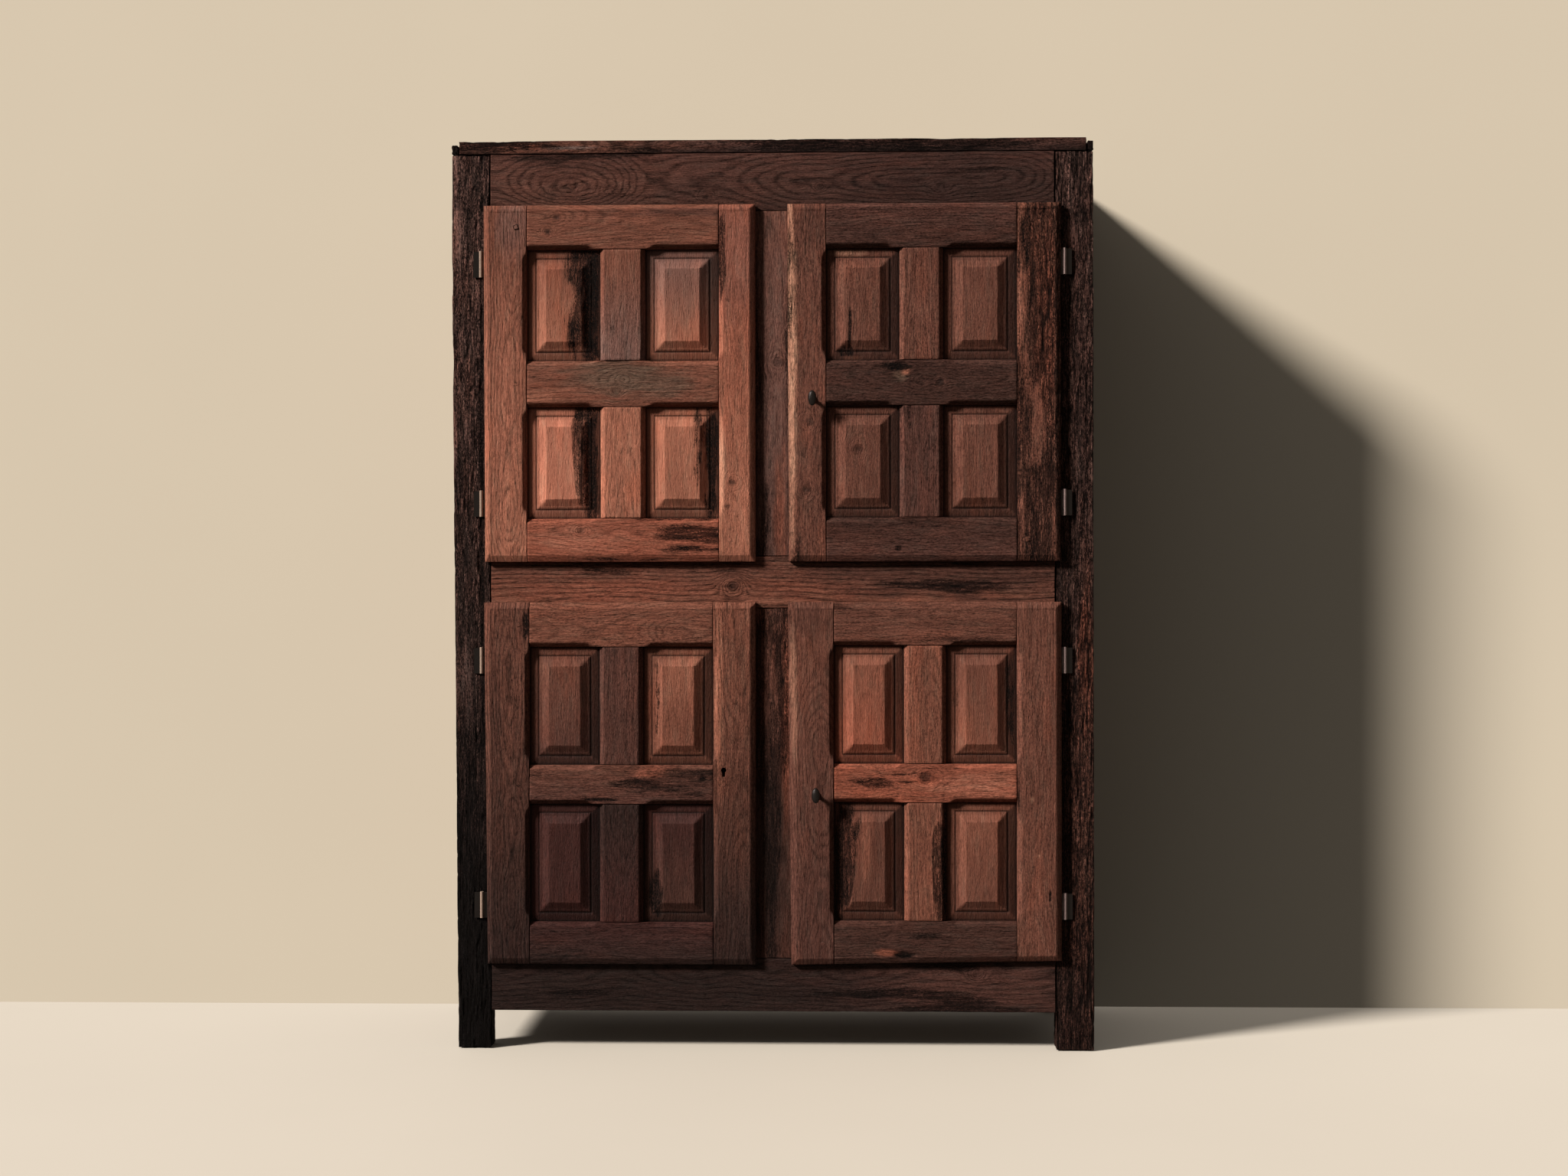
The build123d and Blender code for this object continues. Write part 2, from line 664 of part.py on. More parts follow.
def member_blanks(door):
    """The stiles, rails and muntins as plain lengths of the door's slab, without their joints."""
    envelope = door_envelope(door)
    meeting_u = DOOR_WIDTH - door.meeting_stile
    regions = {
        "hinge_stile": ((-END_SLACK, door.hinge_stile), grown(door.z, END_SLACK)),
        "meeting_stile": ((meeting_u, DOOR_WIDTH + END_SLACK), grown(door.z, END_SLACK)),
    }
    for name, (low, high) in door.rails_z().items():
        below = END_SLACK if name == "bottom_rail" else 0.0
        above = END_SLACK if name == "top_rail" else 0.0
        regions[name] = ((door.hinge_stile, meeting_u), (low - below, high + above))
    whole_v = grown(DOOR_V, END_SLACK)
    blanks = {name: [envelope & in_door(door, u, whole_v, z)] for name, (u, z) in regions.items()}
    blanks["muntins"] = [in_door(door, door.muntin_u(), DOOR_V, z) for z in door.openings_z()]
    return blanks


def door_members(door):
    """Every wooden piece of the door's frame, by name: chamfered, grooved, jointed and bored."""
    members = member_blanks(door)
    for member, ends, outward, stop_start, stop_end in opening_arrises(door):
        cut = chamfer_cut(*ends, outward, stop_start, stop_end)
        members[member] = [piece - cut for piece in members[member]]
    for name, pieces in members.items():
        members[name] = [subtract(piece, grooves(door)) for piece in pieces]
    for name, z in door.rails_z().items():
        rail = members[name][0] + rail_tenons(door, z)
        members[name] = [subtract(rail, muntin_mortises(door))]
    joint_cuts = {
        "hinge_stile": stile_mortises(door, door.hinge_stile, -1) + leaf_pockets(door),
        "meeting_stile": stile_mortises(door, DOOR_WIDTH - door.meeting_stile, 1),
    }
    for name, cuts in joint_cuts.items():
        members[name] = [subtract(members[name][0], cuts)]
    for i, z in enumerate(door.openings_z()):
        tenon_v = grown(GROOVE_V, -SLACK)
        members["muntins"][i] += in_door(door, muntin_tenon_u(door), tenon_v, grown(z, MUNTIN_TENON_LENGTH))
    for name in ("hinge_stile", "meeting_stile", *door.rails_z()):
        members[name] = [subtract(piece, door_bores(door)) for piece in members[name]]
    return members


def door_panels(door):
    panel = raised_panel(door.panel_width(), door.panel_height())
    placed = []
    for u in door.openings_u():
        for z in door.openings_z():
            origin = (door.x(sum(u) / 2), DOOR_FACE_Y + PANEL_FACE_V, sum(z) / 2)
            placed.append(Plane(origin=origin, x_dir=(1, 0, 0), z_dir=(0, -1, 0)).location * panel)
    return placed


def door_pegs(door):
    return [through_door(x, z, PEG_RADIUS, PEG_PROUD) for x, z in peg_places(door)]


# ---------------------------------------------------------------- hinges
HINGE_AXIS_X = HINGE_EDGE_X + HINGE_OFFSET
HINGE_AXIS_Y = FRONT_Y - KNUCKLE_RADIUS - KNUCKLE_GAP
KNUCKLE_LENGTH = (HINGE_LENGTH - 2 * KNUCKLE_GAP) / 3
LEAF_REACH = LIP_OVERLAP + EDGE_GAP


def hinge_bases(door):
    """The lower end of each of a door's two hinges."""
    return [middle - HINGE_LENGTH / 2 for middle in grown(door.z, -HINGE_INSET)]


def knuckle(side, z_low, z_high):
    start = (side * HINGE_AXIS_X, HINGE_AXIS_Y, z_low)
    return rod(start, (0, 0, 1), KNUCKLE_RADIUS, z_high - z_low)


def pin_bore(side, base):
    start = (side * HINGE_AXIS_X, HINGE_AXIS_Y, base - END_SLACK)
    return rod(start, (0, 0, 1), PIN_RADIUS + FINE_SLACK, HINGE_LENGTH + 2 * END_SLACK)


def door_knuckle_z(base):
    start = base + KNUCKLE_LENGTH + KNUCKLE_GAP
    return (start, start + KNUCKLE_LENGTH)


def frame_knuckles_z(base):
    low, high = door_knuckle_z(base)
    return ((base, low - KNUCKLE_GAP), (high + KNUCKLE_GAP, base + HINGE_LENGTH))


def frame_leaf(side, base):
    """The leaf that lies on the post's face, with the upper and the lower knuckle."""
    x = on_side(side, HINGE_AXIS_X, HINGE_AXIS_X + FRAME_LEAF_WIDTH)
    leaf = block(x, (FRONT_Y - LEAF_THICKNESS, FRONT_Y), (base, base + HINGE_LENGTH))
    notch_x = on_side(side, HINGE_AXIS_X - END_SLACK, HINGE_AXIS_X + KNUCKLE_RADIUS + FACE_GAP)
    notch_z = grown(door_knuckle_z(base), KNUCKLE_GAP)
    leaf -= block(notch_x, grown((FRONT_Y - LEAF_THICKNESS, FRONT_Y), END_SLACK), notch_z)
    for z in frame_knuckles_z(base):
        leaf += knuckle(side, *z)
    return leaf - pin_bore(side, base)


def door_leaf_plates(side, base, slack):
    """The door leaf's two flat parts: behind the lip, and back along the side of the stile."""
    back = FRONT_Y - FACE_GAP
    inner_x = HINGE_EDGE_X - LEAF_REACH
    z = grown((base, base + HINGE_LENGTH), slack)
    behind_lip = block(
        on_side(side, inner_x - LEAF_THICKNESS - slack, HINGE_AXIS_X),
        (back - LEAF_THICKNESS - slack, back),
        z,
    )
    along_side = block(
        on_side(side, inner_x - LEAF_THICKNESS - slack, inner_x),
        (back - LEAF_THICKNESS - slack, back + DOOR_LEAF_RETURN - LEAF_THICKNESS + slack),
        z,
    )
    return behind_lip + along_side


def door_leaf(side, base):
    """The leaf let into the door, with the middle knuckle."""
    leaf = door_leaf_plates(side, base, 0.0)
    notch_x = on_side(side, HINGE_AXIS_X - KNUCKLE_RADIUS - FACE_GAP, HINGE_AXIS_X + END_SLACK)
    notch_y = grown((FRONT_Y - FACE_GAP - LEAF_THICKNESS, FRONT_Y - FACE_GAP), END_SLACK)
    for z in frame_knuckles_z(base):
        leaf -= block(notch_x, notch_y, grown(z, KNUCKLE_GAP))
    leaf += knuckle(side, *door_knuckle_z(base))
    return leaf - pin_bore(side, base)


def leaf_pockets(door):
    return [door_leaf_plates(door.side, base, SLACK / 2) for base in hinge_bases(door)]


def hinge_pin(side, base):
    centre = (side * HINGE_AXIS_X, HINGE_AXIS_Y)
    shank = rod((*centre, base), (0, 0, 1), PIN_RADIUS, HINGE_LENGTH)
    head = rod((*centre, base + HINGE_LENGTH), (0, 0, 1), KNUCKLE_RADIUS, PIN_HEAD_HEIGHT)
    return shank + head


# ---------------------------------------------------------------- turn knobs
DOOR_BACK_Y = DOOR_FACE_Y + DOOR_V[1]
LATCH_Y = (
    FRONT_Y + CENTRE_STILE_THICKNESS + LATCH_CLEARANCE,
    FRONT_Y + CENTRE_STILE_THICKNESS + LATCH_CLEARANCE + LATCH_THICKNESS,
)


def turn_knob(door):
    """The upright oval knob, its neck and collar on the face, and the spindle through the stile."""
    x, z = door.x(door.knob_u), door.knob_z
    backward = (0, 1, 0)
    middle_y = DOOR_FACE_Y - KNOB_REACH + KNOB_HALF_DEPTH
    collar_y = DOOR_FACE_Y - FINE_SLACK - COLLAR_THICKNESS
    oval = scale(Sphere(1), by=(KNOB_HALF_WIDTH, KNOB_HALF_DEPTH, KNOB_HALF_HEIGHT))
    knob = Pos(x, middle_y, z) * oval
    knob += rod((x, middle_y, z), backward, NECK_RADIUS, collar_y - middle_y)
    knob += rod((x, collar_y, z), backward, COLLAR_RADIUS, COLLAR_THICKNESS)
    return knob + rod((x, collar_y, z), backward, SPINDLE_RADIUS, LATCH_Y[1] + END_SLACK - collar_y)


def latch_tongue(door):
    """The iron tongue on the spindle's inner end: it hangs when open and turns behind the stile."""
    x, z = door.x(door.knob_u), door.knob_z
    backward = (0, 1, 0)
    bar = block(centred(x, TONGUE_WIDTH), LATCH_Y, (z - LATCH_REACH, z + LATCH_TAIL))
    bar = fillet(bar.edges().filter_by(Axis.Y), TONGUE_WIDTH / 3)
    boss_y = DOOR_BACK_Y + SLACK
    boss = rod((x, boss_y, z), backward, LATCH_BOSS_RADIUS, LATCH_Y[0] - boss_y)
    bore_length = LATCH_Y[1] - boss_y + 2 * END_SLACK
    bore = rod((x, boss_y - END_SLACK, z), backward, SPINDLE_RADIUS, bore_length)
    return bar + boss - bore


# ---------------------------------------------------------------- writing the nodes
def save_case():
    for side, name in SIDE_NAMES.items():
        save(f"front_post_{name}", front_post(side))
        save(f"rear_post_{name}", rear_post(side))
    for name in FRONT_RAILS_Z:
        save(name, front_rail(name))
    save("centre_stiles", *[centre_stile(bay) for bay in PANEL_BAYS_Z])
    save("side_rails", *side_rails(LEFT), *side_rails(RIGHT))
    save("side_panels", *[side_panel(side, bay) for side in (LEFT, RIGHT) for bay in PANEL_BAYS_Z])
    save("rear_rails", *rear_rails())
    save("back_boards", *back_boards())
    save("top_boards", *top_boards())
    save("top_end_caps", top_end_cap(LEFT), top_end_cap(RIGHT))
    save("floor_boards", *housed_boards(SHELF_TOPS["floor"]))
    save("middle_shelf", *housed_boards(SHELF_TOPS["middle"]))
    save("loose_shelves", *[board for z in LOOSE_SHELF_Z for board in loose_shelf(z)])
    save("shelf_cleats", *[cleat(side, top) for side in (LEFT, RIGHT) for top in SHELF_TOPS.values()])


def save_hinges():
    places = [(door.side, base) for door in DOORS for base in hinge_bases(door)]
    save("hinge_frame_leaves", *[frame_leaf(*place) for place in places])
    save("hinge_pins", *[hinge_pin(*place) for place in places])


def save_door(door):
    for name, pieces in door_members(door).items():
        save(f"{door.name}_{name}", *pieces)
    save(f"{door.name}_panels", *door_panels(door))
    save(f"{door.name}_pegs", *door_pegs(door))
    save(f"{door.name}_hinge_leaves", *[door_leaf(door.side, base) for base in hinge_bases(door)])
    if door.knob_u:
        tier = door.name.split("_")[0]
        save(f"{tier}_turn_knob", turn_knob(door))
        save(f"{tier}_latch_tongue", latch_tongue(door))


os.makedirs("parts", exist_ok=True)
save_case()
save_hinges()
for door in DOORS:
    save_door(door)
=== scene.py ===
"""The looks of an old trastero cabinet: worn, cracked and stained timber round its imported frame."""

import itertools
import math
from collections import namedtuple

import bpy
import numpy as np
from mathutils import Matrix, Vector


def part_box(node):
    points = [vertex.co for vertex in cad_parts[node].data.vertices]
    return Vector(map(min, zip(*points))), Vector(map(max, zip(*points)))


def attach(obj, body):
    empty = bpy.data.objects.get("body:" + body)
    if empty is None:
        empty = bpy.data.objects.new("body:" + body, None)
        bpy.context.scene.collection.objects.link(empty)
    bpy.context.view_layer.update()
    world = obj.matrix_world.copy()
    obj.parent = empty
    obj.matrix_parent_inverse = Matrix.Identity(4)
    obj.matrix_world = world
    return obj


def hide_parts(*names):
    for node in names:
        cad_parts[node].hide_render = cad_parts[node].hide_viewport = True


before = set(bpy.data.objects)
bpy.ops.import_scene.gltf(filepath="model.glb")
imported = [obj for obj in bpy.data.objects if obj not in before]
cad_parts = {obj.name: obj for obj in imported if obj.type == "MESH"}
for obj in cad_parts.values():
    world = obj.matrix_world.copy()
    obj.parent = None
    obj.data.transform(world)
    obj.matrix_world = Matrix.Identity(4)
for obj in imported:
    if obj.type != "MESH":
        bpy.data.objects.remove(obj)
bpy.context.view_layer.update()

X, Y, Z = 0, 1, 2

# ---- the finish of each kind of timber, in metres
# warp: how far faces wander. ripple: raised grain. crack: depth of cracks. spacing: distance between them.
# cracked: how much of it is cracked. round: arris radius. broken: how much further arrises are worn away in
# places. coarse: how strongly the fibres show.
Finish = namedtuple("Finish", "warp ripple crack spacing cracked round broken coarse")
DOOR_FINISH = Finish(0.0009, 0.0003, 0.0013, 0.012, -0.25, 0.0009, 0.0028, 0.85)
WEATHERED = Finish(0.0010, 0.0006, 0.0020, 0.0065, 0.70, 0.0010, 0.0045, 1.10)
STILE_FINISH = Finish(0.0010, 0.0005, 0.0018, 0.008, 0.30, 0.0010, 0.0030, 0.95)
PANEL_FINISH = Finish(0.0005, 0.0002, 0.0010, 0.012, -0.35, 0.0004, 0.0, 0.38)
RAIL_FINISH = Finish(0.0010, 0.0005, 0.0016, 0.009, -0.05, 0.0015, 0.003, 0.95)
HEWN = Finish(0.0022, 0.0012, 0.0022, 0.007, 0.80, 0.0030, 0.006, 2.60)
TOP_FINISH = Finish(0.0014, 0.0007, 0.0026, 0.009, 0.60, 0.0020, 0.005, 1.50)
INSIDE = Finish(0.0007, 0.0002, 0.0008, 0.014, -0.30, 0.0012, 0.002, 0.65)
ROUGH_BACK = Finish(0.0014, 0.0004, 0.0014, 0.014, -0.12, 0.0016, 0.003, 0.75)

# Size of the mesh's faces along and across the grain, and distances of its closer rows from an arris.
FINE = (0.0048, 0.0020)
POST_STEP = (0.0048, 0.0019)
TOP_STEP = (0.006, 0.0028)
MEDIUM = (0.0090, 0.0040)
COARSE = (0.0180, 0.0080)
THROUGH_STEP = 0.004  # the least one in Y
CLOSEST_ROWS = 0.0002
ARRIS = (0.0, 0.0004, 0.0010, 0.0020, 0.0040)
DOOR_ARRIS = (0.0, 0.0006)
HEWN_ARRIS = (0.0, 0.0012, 0.0026, 0.0045, 0.0075, 0.0110)

# ---- the doors' shape, in metres
# bevel: its width at the left, right, bottom and top. coarse: how strongly the fibres show. taper: what the
# left edge has lost at the bottom. rise: how far the lower edge climbs to the right.
Form = namedtuple("Form", "bevel coarse taper rise")
DOOR_FORMS = {
    "upper_left": Form((0.009, 0.012, 0.015, 0.009), 0.95, 0.002, 0.0),
    "upper_right": Form((0.016, 0.012, 0.014, 0.009), 1.55, 0.002, 0.0),
    "lower_left": Form((0.011, 0.012, 0.014, 0.012), 1.35, 0.006, 0.0),
    "lower_right": Form((0.016, 0.012, 0.014, 0.012), 1.20, 0.006, 0.010),
}
BEVEL_DEPTH = 0.008
CHAMFER = 0.009
STOP_START = 0.002
STOP_LENGTH = 0.020
SOFT_ARRIS = 0.0011
LIP_INSET = 0.0145
LIP_THICKNESS = 0.018
CHAMFER_LINES = (0.0, 0.0006, 0.0015, 0.0030, 0.0050, 0.0070, 0.0085, 0.0095, 0.0110, 0.0130)
RIM_LINES = (
    0.0, 0.0006, 0.0018, 0.0040, 0.0065, 0.0085, 0.0095, 0.0110, 0.0125, 0.0143, 0.0147, 0.0165, 0.0185,
)
PANEL_RISE = 0.0117
PANEL_TONGUE = 0.009
# Distance from the opening's edge and height over the lowest point, slightly rounded by wear.
PANEL_PROFILE = (
    (0.0000, 0.0018), (0.0148, 0.0024), (0.0154, 0.0021), (0.0166, 0.0015), (0.0178, 0.0015),
    (0.0190, 0.0027), (0.0200, 0.0032), (0.0238, 0.0036), (0.0244, 0.0038), (0.0366, 0.0110),
    (0.0371, 0.0113), (0.0377, 0.0116), (0.0384, 0.0117), (0.0400, 0.0117),
)
PANEL_QUIRK, PANEL_BEAD, PANEL_FIELD = 0.0172, 0.0241, 0.0372
PANEL_WAVER = 0.0008
# Darkening of a panel's margin: dirt all round, and painted shade at its right and its bottom.
MARGIN_DIRT_AND_SHADE = (0.12, 0.64, 0.48)  # all round a panel, and more at its right and its bottom
KEYHOLES = {"lower_left_meeting_stile": (-0.0940, 0.5470)}
KEYHOLE_DEPTH = 0.017
KEYHOLE_EYE = (0.0020, 0.0042)  # height of its middle, radius
KEYHOLE_SLOT = (0.0020, 0.0100)  # half width, length
KEYHOLE_LINES = [0.0009 * i for i in range(-13, 10)]
POST_TAPER = 0.010
POST_TAPER_TOP = 1.45

# ---- pigments, as sRGB
PIGMENTS = {
    "ember": (163, 101, 80), "rust": (148, 92, 72), "brick": (134, 75, 57), "clay": (114, 69, 54),
    "chestnut": (98, 60, 48), "plum": (108, 76, 67), "olive": (94, 70, 57), "walnut": (80, 50, 42),
    "umber": (65, 41, 34), "dusk": (58, 33, 29), "bog": (47, 31, 27), "pitch": (27, 19, 16),
    "pale": (172, 122, 98), "ash": (118, 100, 93), "jet": (15, 11, 10), "raw": (128, 96, 74),
    "raw_dark": (96, 70, 54),
}


# ---- noise
def ramp(value, start, end):
    """Rises smoothly from 0 at start to 1 at end."""
    t = np.clip((value - start) / (end - start), 0.0, 1.0)
    return t * t * (3 - 2 * t)


def hashed(cell, seed):
    """A repeatable number from 0 to 1 for each whole-number cell."""
    x, y, z = (cell[:, axis].astype(np.int64).astype(np.uint32) for axis in (X, Y, Z))
    with np.errstate(over="ignore"):
        mixed = x * np.uint32(0x9E3779B1) ^ y * np.uint32(0x85EBCA77) ^ z * np.uint32(0xC2B2AE3D)
        mixed = mixed + np.uint32(seed) * np.uint32(0x27D4EB2F)
        for shift, factor in ((15, 0x2C1B3C6D), (12, 0x297A2D39), (15, 1)):
            mixed = (mixed ^ (mixed >> np.uint32(shift))) * np.uint32(factor)
    return mixed / 2.0**32


def noise(place, cell, seed):
    """Smooth noise from -1 to 1 whose features are about cell long on each axis."""
    scaled = place / cell
    low = np.floor(scaled)
    part = scaled - low
    part = part * part * (3 - 2 * part)
    total = np.zeros(len(place))
    for corner in itertools.product((0, 1), repeat=3):
        weight = np.where(corner, part, 1 - part).prod(axis=1)
        total += weight * hashed(low + corner, seed)
    return 2 * total - 1


# Length and width of a pattern's features in metres, what it adds to the timber's seed, and its layers.
Pattern = namedtuple("Pattern", "length width offset layers", defaults=(3,))
WARP = Pattern(0.30, 0.035, 0, 4)
WANDER = Pattern(0.09, 0.03, 3)
RIPPLE = Pattern(0.05, 0.0045, 5, 1)
CRACKED = Pattern(0.24, 0.03, 10)
CHECKS = Pattern(0.040, 0.006, 30, 2)
STREAKS = Pattern(0.20, 0.014, 40)
WARMTH = Pattern(0.10, 0.028, 44)
SWAY = Pattern(0.45, 9.0, 50)
SWELL = Pattern(0.30, 9.0, 54)
KNOT_EDGE = Pattern(0.01, 0.006, 60, 1)
UNEVENNESS = Pattern(0.16, 0.05, 65)
MARK_EDGE = Pattern(0.050, 0.007, 70)
BREAKAGE = Pattern(0.012, 0.004, 80)
WAVER = Pattern(0.05, 0.02, 90)


def pattern(grain, seed, kind):
    """A pattern's value at each place, from -1 to 1: noise with finer and fainter noise on top."""
    cell = np.array((kind.length, kind.width, kind.width))
    total = sum(noise(grain, cell / 2**i, seed + kind.offset + i) / 2**i for i in range(kind.layers))
    return total / (2 - 2.0 ** (1 - kind.layers))


def cracks(grain, seed, kind, sharp):
    """From 0 to 1, how near each place is to a winding crack that runs with the grain."""
    return ramp(np.abs(pattern(grain, seed, kind)), sharp, 0.0)


# ---- boxes read from the frame
def corners(node):
    low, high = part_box(node)
    return np.array(low), np.array(high)


def solid_boxes(node):
    """The low and high corners of each separate solid of a CAD node, in order of X, Y and Z."""
    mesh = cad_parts[node].data
    places = np.array([vertex.co for vertex in mesh.vertices])
    places, index = np.unique(places.round(5), axis=0, return_inverse=True)
    edges = index.ravel()[np.array([edge.vertices for edge in mesh.edges])]
    label = np.arange(len(places))
    settled = False
    while not settled:
        lowest = label.copy()
        np.minimum.at(lowest, edges[:, 0], label[edges[:, 1]])
        np.minimum.at(lowest, edges[:, 1], label[edges[:, 0]])
        settled = (lowest == label).all()
        label = lowest
    boxes = [(places[label == i].min(0), places[label == i].max(0)) for i in np.unique(label)]
    return sorted(boxes, key=lambda box: tuple(box[0].round(4)))


def trimmed(box, axis, low, high):
    """The box, cut to the range from low to high on one axis."""
    start, end = box[0].copy(), box[1].copy()
    start[axis], end[axis] = max(start[axis], low), min(end[axis], high)
    return start, end


def parted(boxes, axis):
    """Boards whose laps overlap on one axis, as plain boards that just touch, one level after another."""
    boxes = sorted(boxes, key=lambda box: (box[0][Z].round(2), box[0][axis]))
    for low_board, high_board in zip(boxes, boxes[1:]):
        if low_board[0][axis] < high_board[0][axis]:
            joint = (low_board[1][axis] + high_board[0][axis]) / 2
            low_board[1][axis] = joint
            high_board[0][axis] = joint
    return boxes


# ---- timber
def division(low, high, step, near, at=()):
    """Places from low to high about a step apart, with rows near each end and at some places added."""
    near = [distance for distance in near if distance < (high - low) / 2.2]
    wanted = [low + d for d in near] + [high - d for d in near] + [a for a in at if low < a < high]
    fixed = [low]
    for place in sorted(wanted):
        if place - fixed[-1] > CLOSEST_ROWS:
            fixed.append(place)
    if high - fixed[-1] > CLOSEST_ROWS:
        fixed.append(high)
    fixed[-1] = high
    places = [low]
    for start, end in zip(fixed, fixed[1:]):
        places += list(np.linspace(start, end, max(1, round((end - start) / step)) + 1)[1:])
    return np.array(places)


# A timber's bake map: strips for its four long sides, the front's the widest, and its two ends at the right.
SIDES_START, SIDES_WIDTH = 0.005, 0.94
ENDS_START, ENDS_WIDTH = 0.955, 0.04
END_MARGIN, END_HEIGHT, END_PITCH = 0.01, 0.48, 1.03
STRIP_GAP = 0.06
LEAST_STRIP = 0.03
FRONT_WEIGHT = 2.0


def chart(size, axis, end, first, second):
    """Where one side of a box lies in its bake map, for places from 0 to 1 along the side's own axes."""
    long = int(np.argmax(size))
    across = [a for a in (X, Y, Z) if a != long]
    if axis == long:
        up = END_MARGIN + END_HEIGHT * (second + end * END_PITCH)
        return np.stack([ENDS_START + ENDS_WIDTH * first, up], axis=-1)
    weights, strips = [], [(a, e) for a in across for e in (0, 1)]
    for a, e in strips:
        other = across[0] if a == across[1] else across[1]
        weight = FRONT_WEIGHT if (a, e) == (Y, 0) else 1.0
        weights.append(size[other] * weight + LEAST_STRIP * max(size[across]))
    starts = np.concatenate([[0], np.cumsum(weights)]) / sum(weights)
    k = strips.index((axis, end))
    along, cross = (first, second) if long < sum(across) - axis else (second, first)
    gap = STRIP_GAP * (starts[k + 1] - starts[k])
    low, high = starts[k] + gap, starts[k + 1] - gap
    return np.stack([SIDES_START + SIDES_WIDTH * along, low + (high - low) * cross], axis=-1)


GRAIN_SHIFT = np.array([2.37, 0.731, 0.519])  # what a step of the seed moves a timber through the noise


class Timber:
    """One wooden solid: a box of small faces, which is then worn, cracked, carved and stained."""

    def __init__(self, node, box, along, finish, seed, step=FINE, arris=ARRIS, lines=((), (), ())):
        self.node, self.along, self.finish, self.seed = node, along, finish, seed
        self.low, self.high = box
        rows = []
        for axis in (X, Y, Z):
            size = step[0] if axis == along else step[1]
            size = max(size, THROUGH_STEP) if axis == Y else size
            rows.append(division(self.low[axis], self.high[axis], size, arris, lines[axis]))
        self.points, self.faces, self.uv = self.skin(rows)
        self.start = self.points.copy()
        self.soot = np.zeros(len(self.points))
        # Darkening by dirt and by painted shade, which only panels get.
        self.dirt_and_shade = np.zeros(len(self.points))
        self.front = self.start[:, Y] < (self.low[Y] + self.high[Y]) / 2
        self.wear()

    def skin(self, rows):
        """The outside of the box, divided along the rows of places: points, faces and bake map."""
        counts = [len(row) for row in rows]
        size = self.high - self.low
        faces, maps = [], []
        for axis in (X, Y, Z):
            a, b = [other for other in (X, Y, Z) if other != axis]
            first, second = np.meshgrid(np.arange(counts[a] - 1), np.arange(counts[b] - 1), indexing="ij")
            for end in (0, 1):
                places, marks = [], []
                for step_a, step_b in ((0, 0), (1, 0), (1, 1), (0, 1)):
                    index = [None] * 3
                    index[axis] = np.full(first.size, end * (counts[axis] - 1))
                    index[a], index[b] = first.ravel() + step_a, second.ravel() + step_b
                    places.append(np.ravel_multi_index(index, counts))
                    spots = [(rows[n][index[n]] - self.low[n]) / size[n] for n in (a, b)]
                    marks.append(chart(size, axis, end, *spots))
                order = slice(None, None, -1) if (end == 0) != (axis == Y) else slice(None)
                faces.append(np.stack(places, 1)[:, order])
                maps.append(np.stack(marks, 1)[:, order])
        used, faces = np.unique(np.concatenate(faces), return_inverse=True)
        index = np.unravel_index(used, counts)
        points = np.stack([rows[axis][index[axis]] for axis in (X, Y, Z)], 1)
        return points, faces.reshape(-1, 4), np.concatenate(maps)

    def grain_place(self):
        """Each point's place along, across and through the grain, far from any other timber's."""
        order = {X: (X, Z, Y), Y: (Y, X, Z), Z: (Z, X, Y)}[self.along]
        return self.start[:, order] + self.seed * GRAIN_SHIFT

    def wear(self):
        """Rounds the arrises, more in some places, and lets the faces wander, split and ripple."""
        finish, grain, seed = self.finish, self.grain_place(), self.seed
        wander = pattern(grain, seed, WANDER)
        radius = finish.round + finish.broken * ramp(wander, 0.05, 0.9)
        radius = np.minimum(radius, (self.high - self.low).min() * 0.45)[:, None]
        inside = np.clip(self.points, self.low + radius, self.high - radius)
        away = self.points - inside
        outward = away / np.maximum(np.linalg.norm(away, axis=1, keepdims=True), 1e-9)
        warp = finish.warp * (0.5 + 0.5 * pattern(grain, seed, WARP))
        ripple = finish.ripple * (0.5 + 0.5 * pattern(grain, seed, RIPPLE))
        depth = self.crack(grain, wander)
        self.points = inside + outward * (radius - (warp + ripple + finish.crack * depth)[:, None])
        sharp = 1 - np.abs(outward).max(axis=1)
        high_spots = ramp(-ripple - warp, -0.55 * (finish.ripple + finish.warp), -0.15 * finish.warp)
        self.worn = np.clip(ramp(sharp, 0.05, 0.28) * ramp(wander, -0.7, 0.5) + 0.4 * high_spots, 0, 1)

    def crack(self, grain, wander):
        """Says where the wood is rough and cracked, and how deep its cracks are, from 0 to 1."""
        finish, seed = self.finish, self.seed
        place = pattern(grain, seed, CRACKED) + 0.9 * finish.cracked
        for patch in ROUGH_PATCHES.get(self.node, ()):
            place += patch.strength * ramp(distance_to(self, patch) + 0.6 * wander, 1.3, 0.3) * self.front
        splits = Pattern(11 * finish.spacing, finish.spacing, 20, 2)
        split = cracks(grain, seed, splits, 0.20) * ramp(place, 0.25, 0.7)
        checks = cracks(grain, seed, CHECKS, 0.24) * ramp(place, 0.10, 0.6)
        self.rough = ramp(place, -0.05, 0.65)
        self.groove = np.maximum(split, 0.7 * checks)
        return np.maximum(split, 0.45 * checks)

    def thin(self, front, back):
        """Moves the front face back by front, and the back face to a depth of back, both from the front."""
        full = self.high[Y] - self.low[Y]
        share = (self.points[:, Y] - self.low[Y]) / full
        self.points[:, Y] = self.low[Y] + front + share * (back - front)

    def spin(self, quarter):
        """Turns the timber a quarter turn about Z: 1 anticlockwise from above, -1 clockwise."""
        x, y = self.points[:, X].copy(), self.points[:, Y].copy()
        self.points[:, X], self.points[:, Y] = -quarter * y, quarter * x


def spun_box(box, quarter):
    """The box that becomes this one after Timber.spin."""
    ends = np.array([[quarter * p[Y], -quarter * p[X], p[Z]] for p in box])
    return ends.min(0), ends.max(0)


# ---- damage, marks and knots
Spot = namedtuple("Spot", "x z half strength depth pigment")


